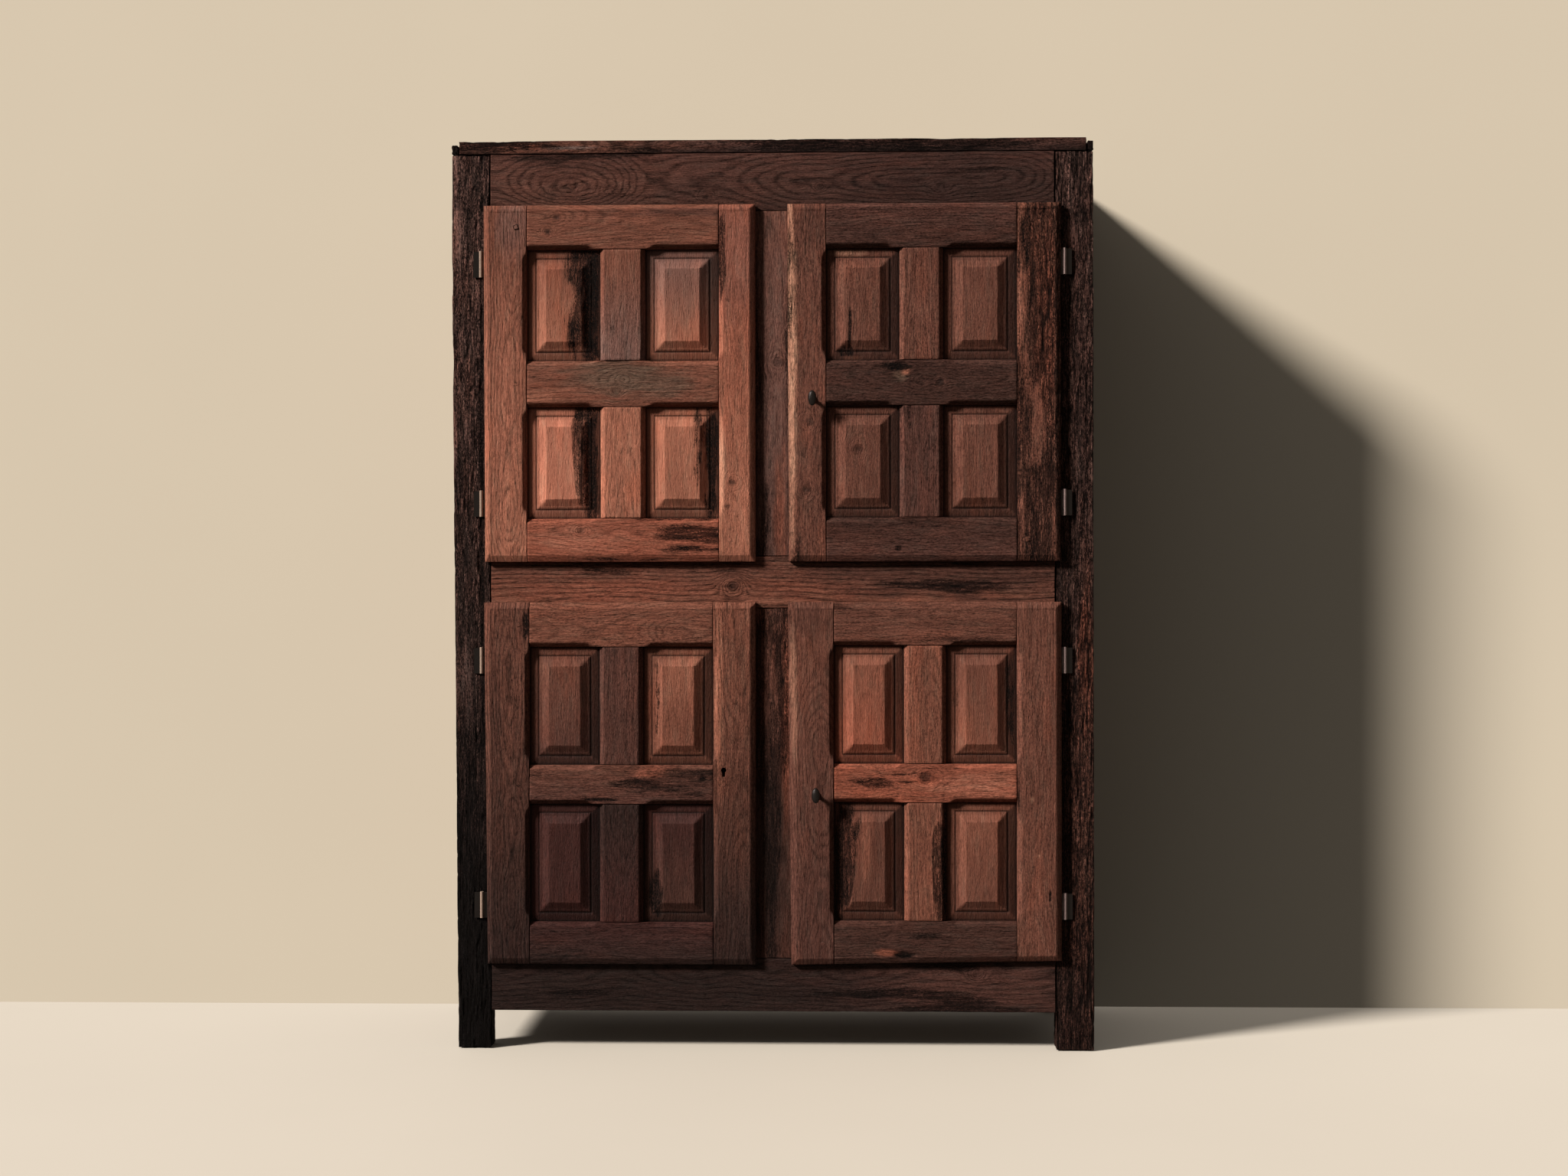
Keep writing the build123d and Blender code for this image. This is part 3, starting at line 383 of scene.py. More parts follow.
def spot(x, z, wide, high, strength, depth=0, pigment="soot"):
    """A place on the fronts, from millimetres: its middle, half width and height, and depth of broken wood.

    Soot is a share from 0 to 1 that the material breaks up; other pigments tint the wood.
    """
    return Spot(x / 1000, z / 1000, (wide / 1000, high / 1000), strength, depth / 1000, pigment)


def spots(table):
    return {node: [spot(*row) for row in rows] for node, rows in table.items()}


# Places where the wood is cracked and rough, beyond what its finish brings.
ROUGH_PATCHES = spots({
    "upper_left_meeting_stile": [(-96, 1560, 10, 110, 1.2)],
    "upper_left_bottom_rail": [(-160, 1000, 110, 40, 0.8)],
    "upper_left_panels": [(-365, 1460, 30, 120, 1.2), (-365, 1160, 26, 120, 1.0)],
    "lower_left_hinge_stile": [(-483, 829, 20, 60, 0.5)],
    "lower_left_lock_rail": [(-180, 522, 170, 50, 0.34)],
    "lower_right_lock_rail": [(200, 527, 60, 14, 0.55), (292, 538, 30, 10, 0.5)],
    "mid_rail": [(330, 932, 260, 30, 0.12)],
    "lower_right_muntins": [(330, 360, 16, 120, 1.0)],
    "lower_right_panels": [(142, 380, 36, 130, 1.05)],
    "upper_right_lock_rail": [(240, 1334, 50, 16, 1.0)],
})
MARKS = spots({
    "upper_left_top_rail": [(-160, 1640, 160, 10, 0.7, 0, "walnut")],
    "upper_left_lock_rail": [
        (-290, 1318, 100, 40, 0.9, 0, "olive"), (-200, 1300, 50, 20, 0.7, 0, "olive"),
        (-460, 1270, 50, 18, 0.7, 0, "rust"), (-300, 1351, 40, 4, 0.8, 3), (-235, 1351, 20, 3, 0.8, 3),
    ],
    "upper_left_bottom_rail": [
        (-140, 982, 60, 6, 0.7), (-150, 1002, 60, 4, 0.55), (-185, 1018, 50, 4, 0.5),
        (-185, 1040, 100, 4, 0.65), (-300, 962, 140, 3, 0.5), (-380, 1000, 90, 25, 0.5, 0, "ember"),
    ],
    "upper_left_meeting_stile": [
        (-70, 1560, 60, 120, 0.4, 0, "plum"), (-100, 1560, 4, 100, 0.6, 1.2), (-72, 1467, 30, 2.2, 1.0, 1),
        (-97, 1150, 8, 100, 0.6, 0, "pale"),
    ],
    "upper_left_hinge_stile": [
        (-505, 1620, 40, 60, 0.6, 0, "plum"), (-525, 1270, 30, 200, 0.5, 0, "ember"),
    ],
    "upper_left_panels": [
        (-352, 1480, 18, 180, 1.0, 1), (-380, 1530, 22, 70, 0.7), (-388, 1404, 22, 40, 0.7, 0.8),
        (-354, 1160, 14, 170, 0.9, 1), (-382, 1240, 14, 40, 0.7, 0.8), (-376, 1170, 10, 70, 0.5),
        (-118, 1160, 14, 170, 0.9, 1.2), (-142, 1215, 12, 50, 0.6, 0.8), (-142, 1140, 10, 50, 0.5),
        (-430, 1160, 30, 80, 0.5, 0, "ember"),
    ],
    # Partly wear and partly painted highlight: the pale strip on the door's left bevel, which faces the
    # light.
    "upper_right_meeting_stile": [(39, 1360, 9, 340, 0.8, 0, "pale"), (85, 1620, 30, 60, 0.5, 0, "umber")],
    "upper_right_lock_rail": [
        (235, 1337, 34, 9, 0.9, 4), (252, 1317, 14, 11, 0.9, 2, "olive"), (262, 1325, 8, 6, 0.8, 0, "rust"),
    ],
    "upper_right_panels": [
        (154, 1415, 3, 50, 0.9, 1.6), (148, 1366, 18, 10, 0.8, 3), (160, 1352, 16, 5, 0.9, 3, "rust"),
        (150, 1560, 30, 8, 0.5, 0, "pale"),
    ],
    "upper_right_hinge_stile": [
        (534, 1420, 20, 180, 0.7, 0, "brick"), (496, 1585, 10, 60, 0.65, 1.2), (500, 1255, 10, 90, 0.55, 1),
        (510, 985, 14, 30, 0.6), (516, 1420, 3, 150, 0.5),
    ],
    "upper_right_bottom_rail": [(248, 982, 7, 5, 0.9, 1)],
    "lower_left_hinge_stile": [(-483, 829, 8.5, 30, 0.9, 2), (-545, 620, 15, 150, 0.5, 0, "umber")],
    "lower_left_lock_rail": [
        (-170, 522, 80, 30, 0.75, 0, "umber"), (-175, 536, 60, 2.5, 0.6, 1.2), (-205, 526, 50, 2, 0.6, 1.2),
        (-160, 518, 50, 2.2, 0.65, 1.2), (-190, 508, 60, 2, 0.6, 1.2), (-150, 500, 40, 3, 0.6, 1),
        (-340, 492, 40, 4, 0.8, 1.2), (-135, 534, 8, 6, 1.0, 1.5), (-240, 545, 30, 14, 0.6, 0, "brick"),
    ],
    "lower_left_panels": [
        (-170, 730, 40, 60, 0.6, 0, "rust"), (-226, 690, 6, 90, 0.45, 0.8), (-228, 305, 16, 50, 0.85, 1.6),
    ],
    "lower_left_meeting_stile": [(-104, 690, 8, 180, 0.8, 0, "rust")],
    "lower_right_meeting_stile": [
        # Partly wear and partly painted highlight: the pale strip on the door's left bevel, which faces the
        # light.
        (41, 700, 7, 120, 0.3, 0, "pale"), (36, 850, 6, 16, 0.5, 2), (70, 845, 40, 40, 0.5, 0, "umber"),
    ],
    "lower_right_muntins": [
        (290, 604, 6, 12, 0.35, 1), (337, 380, 8, 110, 1.0, 1.2), (272, 464, 3, 16, 0.3),
    ],
    "lower_right_panels": [
        (138, 385, 26, 125, 0.55, 1.4), (134, 300, 18, 60, 0.65, 1.2), (158, 440, 18, 50, 0.5, 1),
        (206, 612, 4, 12, 0.35, 1), (466, 690, 12, 90, 0.6), (188, 385, 40, 120, 0.4, 0, "umber"),
        (185, 400, 12, 70, 0.3, 0, "ember"),
    ],
    "lower_right_lock_rail": [
        (176, 527, 22, 2.5, 0.7, 1.6), (208, 533, 20, 2.2, 0.65, 1.2), (214, 520, 26, 2.2, 0.7, 1.2),
        (244, 541, 22, 2, 0.6, 1.2), (296, 544, 22, 2.2, 0.55), (262, 527, 20, 2, 0.45),
        (340, 553, 110, 1.6, 0.5), (400, 520, 80, 20, 0.5, 0, "ember"),
    ],
    "lower_right_bottom_rail": [(256, 184, 20, 10, 0.9, 6), (222, 190, 22, 7, 0.8, 0, "brick")],
    "lower_right_hinge_stile": [
        (507, 493, 4, 4, 0.6, 0, "pale"), (519, 385, 4, 3, 0.6, 0, "pale"), (541, 306, 1.6, 10, 1.0, 1.2),
    ],
    "mid_rail": [
        (-350, 900, 200, 28, 0.6, 0, "brick"), (100, 900, 120, 24, 0.5, 0, "brick"),
        # The umber patch at the right is partly stain and partly painted shadow of the upper right door's
        # lip.
        (380, 930, 340, 55, 0.75, 0, "umber"), (340, 948, 200, 2.2, 0.35), (420, 932, 140, 1.8, 0.3),
        (-300, 950, 220, 3, 0.5),
    ],
    "bottom_rail": [
        # Painted shade: the pitch patch over the left of the bottom rail, where the lower left lies in shade.
        (-300, 115, 450, 70, 0.55, 0, "pitch"), (400, 125, 200, 50, 0.8, 0, "walnut"),
        (420, 118, 90, 1.8, 0.35), (320, 102, 70, 1.8, 0.35),
    ],
    "top_rail": [(400, 1690, 280, 100, 0.75, 0, "bog"), (-420, 1690, 200, 60, 0.4, 0, "chestnut")],
    "top_boards": [
        (-420, 1770, 220, 20, 0.6, 0, "clay"), (-465, 1774, 13, 7, 0.9, 0, "brick"),
        (-400, 1770, 55, 3, 0.6, 0, "ash"),
    ],
    "front_post_left": [
        # Painted shade: the jet patch at the left post's foot, where the light falls off towards the floor.
        (-600, 200, 90, 300, 0.9, 0, "jet"), (-581, 1150, 6, 550, 0.9, 0, "plum"),
        (-571, 1050, 5, 680, 0.8, 1.2),
    ],
    "front_post_right": [
        (612, 740, 16, 200, 0.9, 0, "brick"), (605, 450, 34, 300, 0.8, 0, "chestnut"),
        (600, 1400, 40, 300, 0.6, 0, "walnut"),
    ],
    "centre_stiles": [
        (0, 1350, 40, 420, 0.5, 0, "plum"), (16, 1050, 12, 120, 0.6, 0, "brick"),
        # Partly painted light: the brick strip along the lower stile's right edge is reddish wood, made
        # lighter where light reaches it beside the lower right door.
        (-24, 855, 22, 30, 0.8, 0, "clay"), (27, 660, 9, 190, 0.9, 0, "brick"),
        (-10, 420, 40, 220, 0.7, 0, "pitch"),
    ],
})
KNOTS = spots({
    "upper_left_top_rail": [(-420, 1630, 7.2, 6, 1.0), (-437, 1602, 6, 5, 1.0)],
    "upper_left_lock_rail": [(-287, 1312, 8.4, 7, 0.3), (-303, 1290, 7.2, 6, 1.0)],
    "upper_left_meeting_stile": [(-77, 1111, 7.2, 6, 1.0), (-85, 1065, 4.8, 4, 1.0)],
    "upper_left_bottom_rail": [(-371, 1018, 7.2, 6, 1.0)],
    "upper_right_meeting_stile": [(74, 1230, 7.2, 6, 1.0), (67, 1097, 8.4, 7, 1.0)],
    "upper_right_lock_rail": [(292, 1308, 7.2, 6, 0.3), (329, 1305, 7.2, 6, 1.0)],
    "upper_right_panels": [(168, 1176, 9.6, 8, 0.7)],
    "lower_right_lock_rail": [(299, 535, 12, 10, 1.0)],
    "mid_rail": [(-76, 909, 10.8, 9, 1.0)],
    "top_rail": [
        (-393, 1694, 41.4, 18, 0.15), (-128, 1672, 4.8, 4, 0.7), (96, 1690, 4.8, 4, 0.7),
        (333, 1688, 12.8, 8, 0.8),
    ],
    "centre_stiles": [(14, 1347, 9.6, 8, 1.0)],
    "bottom_rail": [(400, 150, 7.2, 6, 0.5)],
})
# lines: how strongly the growth rings show. In millimetres: pith: how far the tree's heart lies from the
# middle of the board's width. sway: how far the rings wander. swell: how much they arch.
Figure = namedtuple("Figure", "lines pith sway swell", defaults=(0.5, None, 22, 40))
FIGURES = {
    "top_rail": Figure(0.95, 4, 20, 85), "mid_rail": Figure(1.0, -50, 28, 20),
    "bottom_rail": Figure(0.7, 30, 20, 60), "upper_left_hinge_stile": Figure(0.75, 6, 18, 60),
    "upper_left_top_rail": Figure(0.6, 20, 18, 50), "upper_left_lock_rail": Figure(0.65, 4, 20, 50),
    "upper_right_top_rail": Figure(0.6, -20, 18, 50), "lower_left_hinge_stile": Figure(0.85, 10, 20, 60),
    "lower_left_meeting_stile": Figure(0.65, 12, 20, 50), "lower_left_top_rail": Figure(0.6, -14, 18, 60),
    "lower_right_meeting_stile": Figure(0.7, 20, 18, 50), "top_boards": Figure(0.9, 0, 20, 60),
    "side_panels": Figure(0.8, 0, 30, 70), "upper_left_panels": Figure(0.25),
    "upper_right_panels": Figure(0.3), "lower_left_panels": Figure(0.25), "lower_right_panels": Figure(0.25),
    "back_boards": Figure(0.9), "loose_shelves": Figure(0.9), "floor_boards": Figure(0.9),
    "middle_shelf": Figure(0.9),
}
USUAL_PITH = 0.016
RING_DIP = 0.030
STREAK_SHARE = 0.12
WARM_SHIFT = np.array([0.16, 0.05, 0.0])


def linear(colour):
    """A pigment or an sRGB colour as the renderer counts it."""
    value = np.array(PIGMENTS.get(colour, colour)) / 255
    return np.where(value <= 0.04045, value / 12.92, ((value + 0.055) / 1.055) ** 2.4)


def rgba(colour, factor=1.0):
    return (*(linear(colour) * factor), 1.0)


def mixed(under, over, share):
    return under + (over - under) * np.asarray(share)[..., None]


def stain(timber, upper, lower, coarseness=1.0):
    """Gives each point its colour, its rings and its place in the grain, with the node's marks and knots."""
    grain, seed = timber.grain_place(), timber.seed
    level = (timber.start[:, Z] - timber.low[Z]) / (timber.high[Z] - timber.low[Z])
    tint = mixed(linear(lower), linear(upper), ramp(level, 0.0, 1.0))
    tint = tint * (1 + STREAK_SHARE * pattern(grain, seed, STREAKS))[:, None]
    warm = ramp(pattern(grain, seed, WARMTH), 0.05, 0.6)
    tint = tint * (1 + warm[:, None] * WARM_SHIFT)
    ring = growth_rings(timber, grain)
    uneven = 1 + 0.35 * pattern(grain, seed, UNEVENNESS) + 0.5 * timber.rough
    timber.coarse = coarseness * timber.finish.coarse * uneven
    for knot in KNOTS.get(timber.node, ()):
        ring = add_knot(timber, knot, tint, ring, grain)
    for mark in MARKS.get(timber.node, ()):
        add_mark(timber, mark, tint, grain)
    # The tint is darkened by the panels' margin dirt and painted shade.
    timber.tint, timber.ring, timber.grain = tint * (1 - timber.dirt_and_shade)[:, None], ring, grain


def growth_rings(timber, grain):
    """How far each point lies from the heart of its tree, in metres, as the timber's figure has it."""
    seed, figure = timber.seed, FIGURES.get(timber.node, Figure())
    heart = grain - seed * GRAIN_SHIFT
    middle = (timber.low + timber.high) / 2
    across = {X: Z, Y: X, Z: X}[timber.along]
    pith = USUAL_PITH * np.sin(seed) if figure.pith is None else figure.pith / 1000
    dip = RING_DIP + figure.swell / 1000 * pattern(grain, seed, SWELL)
    off = heart[:, 1] - middle[across] - figure.sway / 1000 * pattern(grain, seed, SWAY) - pith
    timber.lines = np.full(len(off), figure.lines)
    return np.sqrt(off**2 + dip**2 + 0.00002)


def distance_to(timber, spot):
    """How far each point is from the middle of a spot on the front, counted in the spot's own half sizes."""
    offset = (timber.start[:, [X, Z]] - np.array([spot.x, spot.z])) / np.array(spot.half)
    return np.hypot(offset[:, 0], offset[:, 1])


def add_knot(timber, knot, tint, ring, grain):
    """Bends the grain and the rings round a knot, and darkens and sinks it."""
    away = distance_to(timber, knot)
    away = away + 0.15 * pattern(grain, timber.seed, KNOT_EDGE)
    pull = np.exp(-((away / 2.4) ** 2)) * timber.front
    cross, middle = (Z, knot.z) if timber.along == X else (X, knot.x)
    grain[:, 1] -= (timber.start[:, cross] - middle) * 0.75 * pull
    core = ramp(away, 1.05, 0.65) * timber.front * knot.strength
    tint[:] = mixed(tint, linear("pitch"), 0.75 * core)
    rim = ramp(np.abs(away - 1.0), 0.30, 0.0) * timber.front * knot.strength
    timber.groove = np.maximum(timber.groove, 0.6 * rim)
    timber.points[:, Y] += 0.0008 * core
    return ring * (1 - pull) + (0.6 * away * knot.half[1] + 0.003) * pull


def add_mark(timber, mark, tint, grain):
    """Adds a patch with a ragged edge that runs with the grain, and breaks the wood if it has depth."""
    ragged = pattern(grain, timber.seed, MARK_EDGE)
    share = ramp(distance_to(timber, mark) + 0.60 * ragged, 1.45, 0.35) * mark.strength * timber.front
    if mark.pigment == "soot":
        timber.soot = np.maximum(timber.soot, share)
    else:
        tint[:] = mixed(tint, linear(mark.pigment), share)
    rough = 0.65 + 0.5 * pattern(grain, timber.seed, BREAKAGE)
    timber.points[:, Y] += mark.depth * share * rough


# ---- pieces
SURFACE_VALUES = ("grain", "tint", "state", "ring", "rough", "lines", "coarse")


def join(timbers):
    """The timbers' points, faces, bake maps and surface values as one set, each with its band of the map."""
    counts = np.cumsum([0] + [len(timber.points) for timber in timbers])
    faces = [timber.faces + start for timber, start in zip(timbers, counts)]
    bands = []
    for i, timber in enumerate(timbers):
        band = timber.uv.copy()
        band[..., 1] = (band[..., 1] * 0.98 + 0.01 + i) / len(timbers)
        bands.append(band)
        timber.state = np.stack([timber.groove, timber.soot, timber.worn], 1)
    points = np.concatenate([timber.points for timber in timbers])
    values = {key: np.concatenate([getattr(timber, key) for timber in timbers]) for key in SURFACE_VALUES}
    return points, np.concatenate(faces), np.concatenate(bands), values


def add_object(name, data):
    made = bpy.data.objects.new(name, data)
    bpy.context.collection.objects.link(made)
    return made


def mesh_object(name, points, faces, uv, values):
    mesh = bpy.data.meshes.new(name)
    mesh.vertices.add(len(points))
    mesh.vertices.foreach_set("co", points.astype(np.float32).ravel())
    mesh.loops.add(faces.size)
    mesh.loops.foreach_set("vertex_index", faces.astype(np.int32).ravel())
    mesh.polygons.add(len(faces))
    mesh.polygons.foreach_set("loop_start", np.arange(0, faces.size, 4, dtype=np.int32))
    mesh.update(calc_edges=True)
    mesh.shade_smooth()
    mesh.uv_layers.new(name="OFBake").uv.foreach_set("vector", uv.astype(np.float32).ravel())
    for key, numbers in values.items():
        kind, field = ("FLOAT", "value") if numbers.ndim == 1 else ("FLOAT_VECTOR", "vector")
        mesh.attributes.new(key, kind, "POINT").data.foreach_set(field, numbers.astype(np.float32).ravel())
    return add_object(name, mesh)


def wooden_piece(node, body, slot, timbers):
    """One object for a CAD node, in that node's place and finish."""
    made = mesh_object(f"{node}_wood", *join(timbers))
    made.data.materials.append(MATERIALS[slot])
    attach(made, body)
    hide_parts(node)
    return made


# ---- doors
class Door:
    """A door's shape in X and Z, read from its CAD members: its rim, its members and its four openings."""

    def __init__(self, name, number):
        self.name, self.form, self.seed = name, DOOR_FORMS[name], 100 * (number + 1)
        self.body, self.slot = f"{name}_door", f"{name}_wood"
        stiles = {part: corners(f"{name}_{part}") for part in ("hinge_stile", "meeting_stile")}
        self.stiles = sorted(stiles.items(), key=lambda pair: pair[1][0][X])
        self.rails = {part: corners(f"{name}_{part}") for part in ("bottom_rail", "lock_rail", "top_rail")}
        hinge, left, right = stiles["hinge_stile"], self.stiles[0][1], self.stiles[1][1]
        self.x, self.z = (left[0][X], right[1][X]), (hinge[0][Z], hinge[1][Z])
        self.face, self.back = hinge[0][Y], hinge[1][Y]
        self.inner_x = (left[1][X], right[0][X])
        self.muntin_x = tuple(end[X] for end in corners(f"{name}_muntins"))
        bottom, lock, top = self.rails.values()
        self.bays_x = ((self.inner_x[0], self.muntin_x[0]), (self.muntin_x[1], self.inner_x[1]))
        self.bays_z = ((bottom[1][Z], lock[0][Z]), (lock[1][Z], top[0][Z]))

    def rim(self, x, z):
        """The depth of the bevel round the door's edge."""
        edges = (x - self.x[0], self.x[1] - x, z - self.z[0], self.z[1] - z)
        sides = [edge / width for edge, width in zip(edges, self.form.bevel)]
        return soft(BEVEL_DEPTH * (1 - np.min(sides, axis=0)))

    def lip_back(self, x, z):
        """The depth of the back face: the lip is thinner than what enters the opening."""
        edge = np.min((x - self.x[0], self.x[1] - x, z - self.z[0], self.z[1] - z), axis=0)
        return np.where(edge < LIP_INSET, LIP_THICKNESS, self.back - self.face)

    def taper(self, timber):
        """Brings the left edge in towards the bottom, as the old door has lost wood there."""
        share = (self.inner_x[0] - timber.points[:, X]) / (self.inner_x[0] - self.x[0])
        drop = (self.z[1] - timber.points[:, Z]) / (self.z[1] - self.z[0])
        timber.points[:, X] += self.form.taper * np.clip(share, 0, 1) * np.clip(drop, 0, 1)

    def lift(self, timber):
        """Brings the lower edge up towards the right, where the old door has been planed."""
        across = (timber.points[:, X] - self.x[0]) / (self.x[1] - self.x[0])
        below = (self.bays_z[0][0] - timber.points[:, Z]) / (self.bays_z[0][0] - self.z[0])
        timber.points[:, Z] += self.form.rise * across * np.clip(below, 0, 1)


def soft(depth):
    """The depth where it is above nought, with the corner eased as wear eases it."""
    return (depth + np.sqrt(depth**2 + SOFT_ARRIS**2)) / 2


def chamfer(from_arris, from_stop):
    """The depth of a chamfer that ends in a lamb's tongue, from the distances to its arris and its stop."""
    width = CHAMFER * ramp(from_stop, STOP_START, STOP_START + STOP_LENGTH)
    return soft(width - from_arris)


def reach(value, ranges):
    """How far inside the nearest of some ranges each value is; below nought outside them."""
    return np.max([np.minimum(value - low, high - value) for low, high in ranges], axis=0)


def around(edges, distances):
    """Places on both sides of some edges, at some distances from them."""
    return [edge + sign * distance for edge in edges for distance in distances for sign in (-1, 1)]


def keyhole(x, z):
    """1 inside a keyhole round the origin, a round eye over a narrow slot, and 0 outside it."""
    eye = np.hypot(x, z - KEYHOLE_EYE[0]) - KEYHOLE_EYE[1]
    slot = np.maximum(np.abs(x) - KEYHOLE_SLOT[0], np.abs(z + KEYHOLE_SLOT[1] / 2) - KEYHOLE_SLOT[1] / 2)
    return ramp(np.minimum(eye, slot), 0.0008, 0.0)


def stile_timber(door, part, box, seed, finish):
    is_left, node = part == door.stiles[0][0], f"{door.name}_{part}"
    inner, outer = (box[1][X], door.x[0]) if is_left else (box[0][X], door.x[1])
    lines_x, lines_z = around([inner], CHAMFER_LINES) + around([outer], RIM_LINES), around(door.z, RIM_LINES)
    if node in KEYHOLES:
        hole_x, hole_z = KEYHOLES[node]
        lines_x += [hole_x + d for d in KEYHOLE_LINES]
        lines_z += [hole_z + d for d in KEYHOLE_LINES]
    timber = Timber(node, box, Z, finish, seed, arris=DOOR_ARRIS, lines=(lines_x, (), lines_z))
    x, z = timber.start[:, X], timber.start[:, Z]
    front = np.maximum(door.rim(x, z), chamfer(np.abs(x - inner), reach(z, door.bays_z)))
    if node in KEYHOLES:
        hole = keyhole(x - hole_x, z - hole_z)
        front = np.maximum(front, KEYHOLE_DEPTH * hole)
        # Painted shade: the inside of the keyhole is darkened to near black, as if deep in shade.
        timber.groove = np.maximum(timber.groove, hole)
    timber.thin(front, door.lip_back(x, z))
    if is_left:
        door.taper(timber)
    door.lift(timber)
    return timber


def rail_timber(door, part, box, seed, finish):
    box = trimmed(box, X, *door.inner_x)
    edges = [z for bay in door.bays_z for z in bay if box[0][Z] - 1e-4 < z < box[1][Z] + 1e-4]
    lines_z = around(edges, CHAMFER_LINES) + around(door.z, RIM_LINES)
    node = f"{door.name}_{part}"
    timber = Timber(node, box, X, finish, seed, arris=DOOR_ARRIS, lines=((), (), lines_z))
    x, z = timber.start[:, X], timber.start[:, Z]
    from_muntin = np.maximum(door.muntin_x[0] - x, x - door.muntin_x[1])
    from_edge = np.min([np.abs(z - edge) for edge in edges], axis=0)
    timber.thin(np.maximum(door.rim(x, z), chamfer(from_edge, from_muntin)), door.lip_back(x, z))
    door.lift(timber)
    return timber


def muntin_timber(door, bay, seed):
    low, high = (np.array([x, y, z]) for x, y, z in zip(door.muntin_x, (door.face, door.back), bay))
    lines = (around(door.muntin_x, CHAMFER_LINES), (), ())
    timber = Timber(f"{door.name}_muntins", (low, high), Z, DOOR_FINISH, seed, arris=DOOR_ARRIS, lines=lines)
    from_edge = reach(timber.start[:, X], [door.muntin_x])
    timber.thin(soft(CHAMFER - from_edge), door.back - door.face)
    return timber


def raised_timber(node, bay_a, bay_z, faces, seed, step=FINE):
    """A raised and fielded panel, facing -Y, for an opening bay_a across and bay_z up; faces: its Y range."""
    low = np.array([bay_a[0] - PANEL_TONGUE, faces[0], bay_z[0] - PANEL_TONGUE])
    high = np.array([bay_a[1] + PANEL_TONGUE, faces[1], bay_z[1] + PANEL_TONGUE])
    runs, rises = zip(*PANEL_PROFILE)
    lines_a, lines_z = ([a + run for run in runs] + [b - run for run in runs] for a, b in (bay_a, bay_z))
    lines = (lines_a, (), lines_z)
    timber = Timber(node, (low, high), Z, PANEL_FINISH, seed, step=step, arris=(0.0,), lines=lines)
    inside = np.minimum(reach(timber.start[:, X], [bay_a]), reach(timber.start[:, Z], [bay_z]))
    bent = inside + PANEL_WAVER * pattern(timber.grain_place(), seed, WAVER)
    timber.thin(PANEL_RISE - np.interp(bent, runs, rises), faces[1] - faces[0])
    ridge = ramp(np.abs(inside - PANEL_FIELD), 0.004, 0.0) + ramp(np.abs(inside - PANEL_BEAD), 0.0025, 0.0)
    timber.worn = np.clip(timber.worn + 0.5 * ridge * timber.front, 0, 1)
    # Painted shade: a dark line where the panel meets its opening, and another in the quirk, darken these
    # creases.
    quirk = ramp(np.abs(inside - PANEL_QUIRK), 0.0026, 0.0) * timber.front
    timber.groove = np.maximum(timber.groove, 0.85 * (ramp(inside, 0.006, 0.0) + quirk))
    # Dirt round the margin, and painted shade at its right and its bottom.
    timber.dirt_and_shade = panel_dirt_and_shade(timber, bay_a, bay_z, inside) * timber.front
    return timber


def panel_dirt_and_shade(timber, bay_a, bay_z, inside):
    """How a panel's margin is darkened: a little dirt all round it, and painted shade, most at its right and
    its bottom.
    """
    x, z = timber.start[:, X], timber.start[:, Z]
    right, bottom = bay_a[1] - x, z - bay_z[0]
    others = np.minimum(x - bay_a[0], bay_z[1] - z)
    # Painted shade: the right and the bottom of the margin are darkened as if the field shaded them.
    side = ramp(np.minimum(others, bottom) - right, -0.002, 0.004)
    foot = ramp(np.minimum(others, right) - bottom, -0.002, 0.004)
    margin = ramp(inside, 0.028, 0.020)
    return np.clip(MARGIN_DIRT_AND_SHADE[0] + MARGIN_DIRT_AND_SHADE[1] * side + MARGIN_DIRT_AND_SHADE[2] * foot, 0, 0.80) * margin


# Upper and lower pigment of each member. Muntins: of the lower one, then of the upper one. Panels: of the
# lower left, the upper left, the lower right and the upper right one.
DOOR_STAINS = {
    "upper_left": {
        "hinge_stile": "clay rust", "meeting_stile": "brick rust", "top_rail": "clay clay",
        "lock_rail": "clay clay", "bottom_rail": "brick brick", "muntins": "rust rust clay plum",
        "panels": "ember ember clay rust rust rust plum rust",
    },
    "upper_right": {
        "hinge_stile": "clay chestnut", "meeting_stile": "chestnut chestnut", "top_rail": "walnut umber",
        "lock_rail": "umber umber", "bottom_rail": "umber walnut",
        "muntins": "walnut walnut chestnut chestnut", "panels": "chestnut chestnut " * 4,
    },
    # Painted shade: the lower left door is darker than the others and darkest at the bottom, where the light
    # falls off, over the wood's own tone.
    "lower_left": {
        "hinge_stile": "chestnut bog", "meeting_stile": "clay bog", "top_rail": "clay clay",
        "lock_rail": "chestnut walnut", "bottom_rail": "dusk bog", "muntins": "bog dusk walnut walnut",
        "panels": "dusk dusk chestnut walnut dusk umber clay clay",
    },
    "lower_right": {
        "hinge_stile": "chestnut chestnut", "meeting_stile": "chestnut walnut",
        "top_rail": "chestnut chestnut", "lock_rail": "brick brick", "bottom_rail": "umber umber",
        "muntins": "clay clay clay clay",
        "panels": "chestnut chestnut clay brick clay chestnut chestnut clay",
    },
}
WEATHERED_MEMBERS = {"upper_right_hinge_stile"}


def colours_of(door, part):
    """The upper and lower pigment of each of a door's members of one kind."""
    names = DOOR_STAINS[door.name][part].split()
    return list(zip(names[::2], names[1::2]))


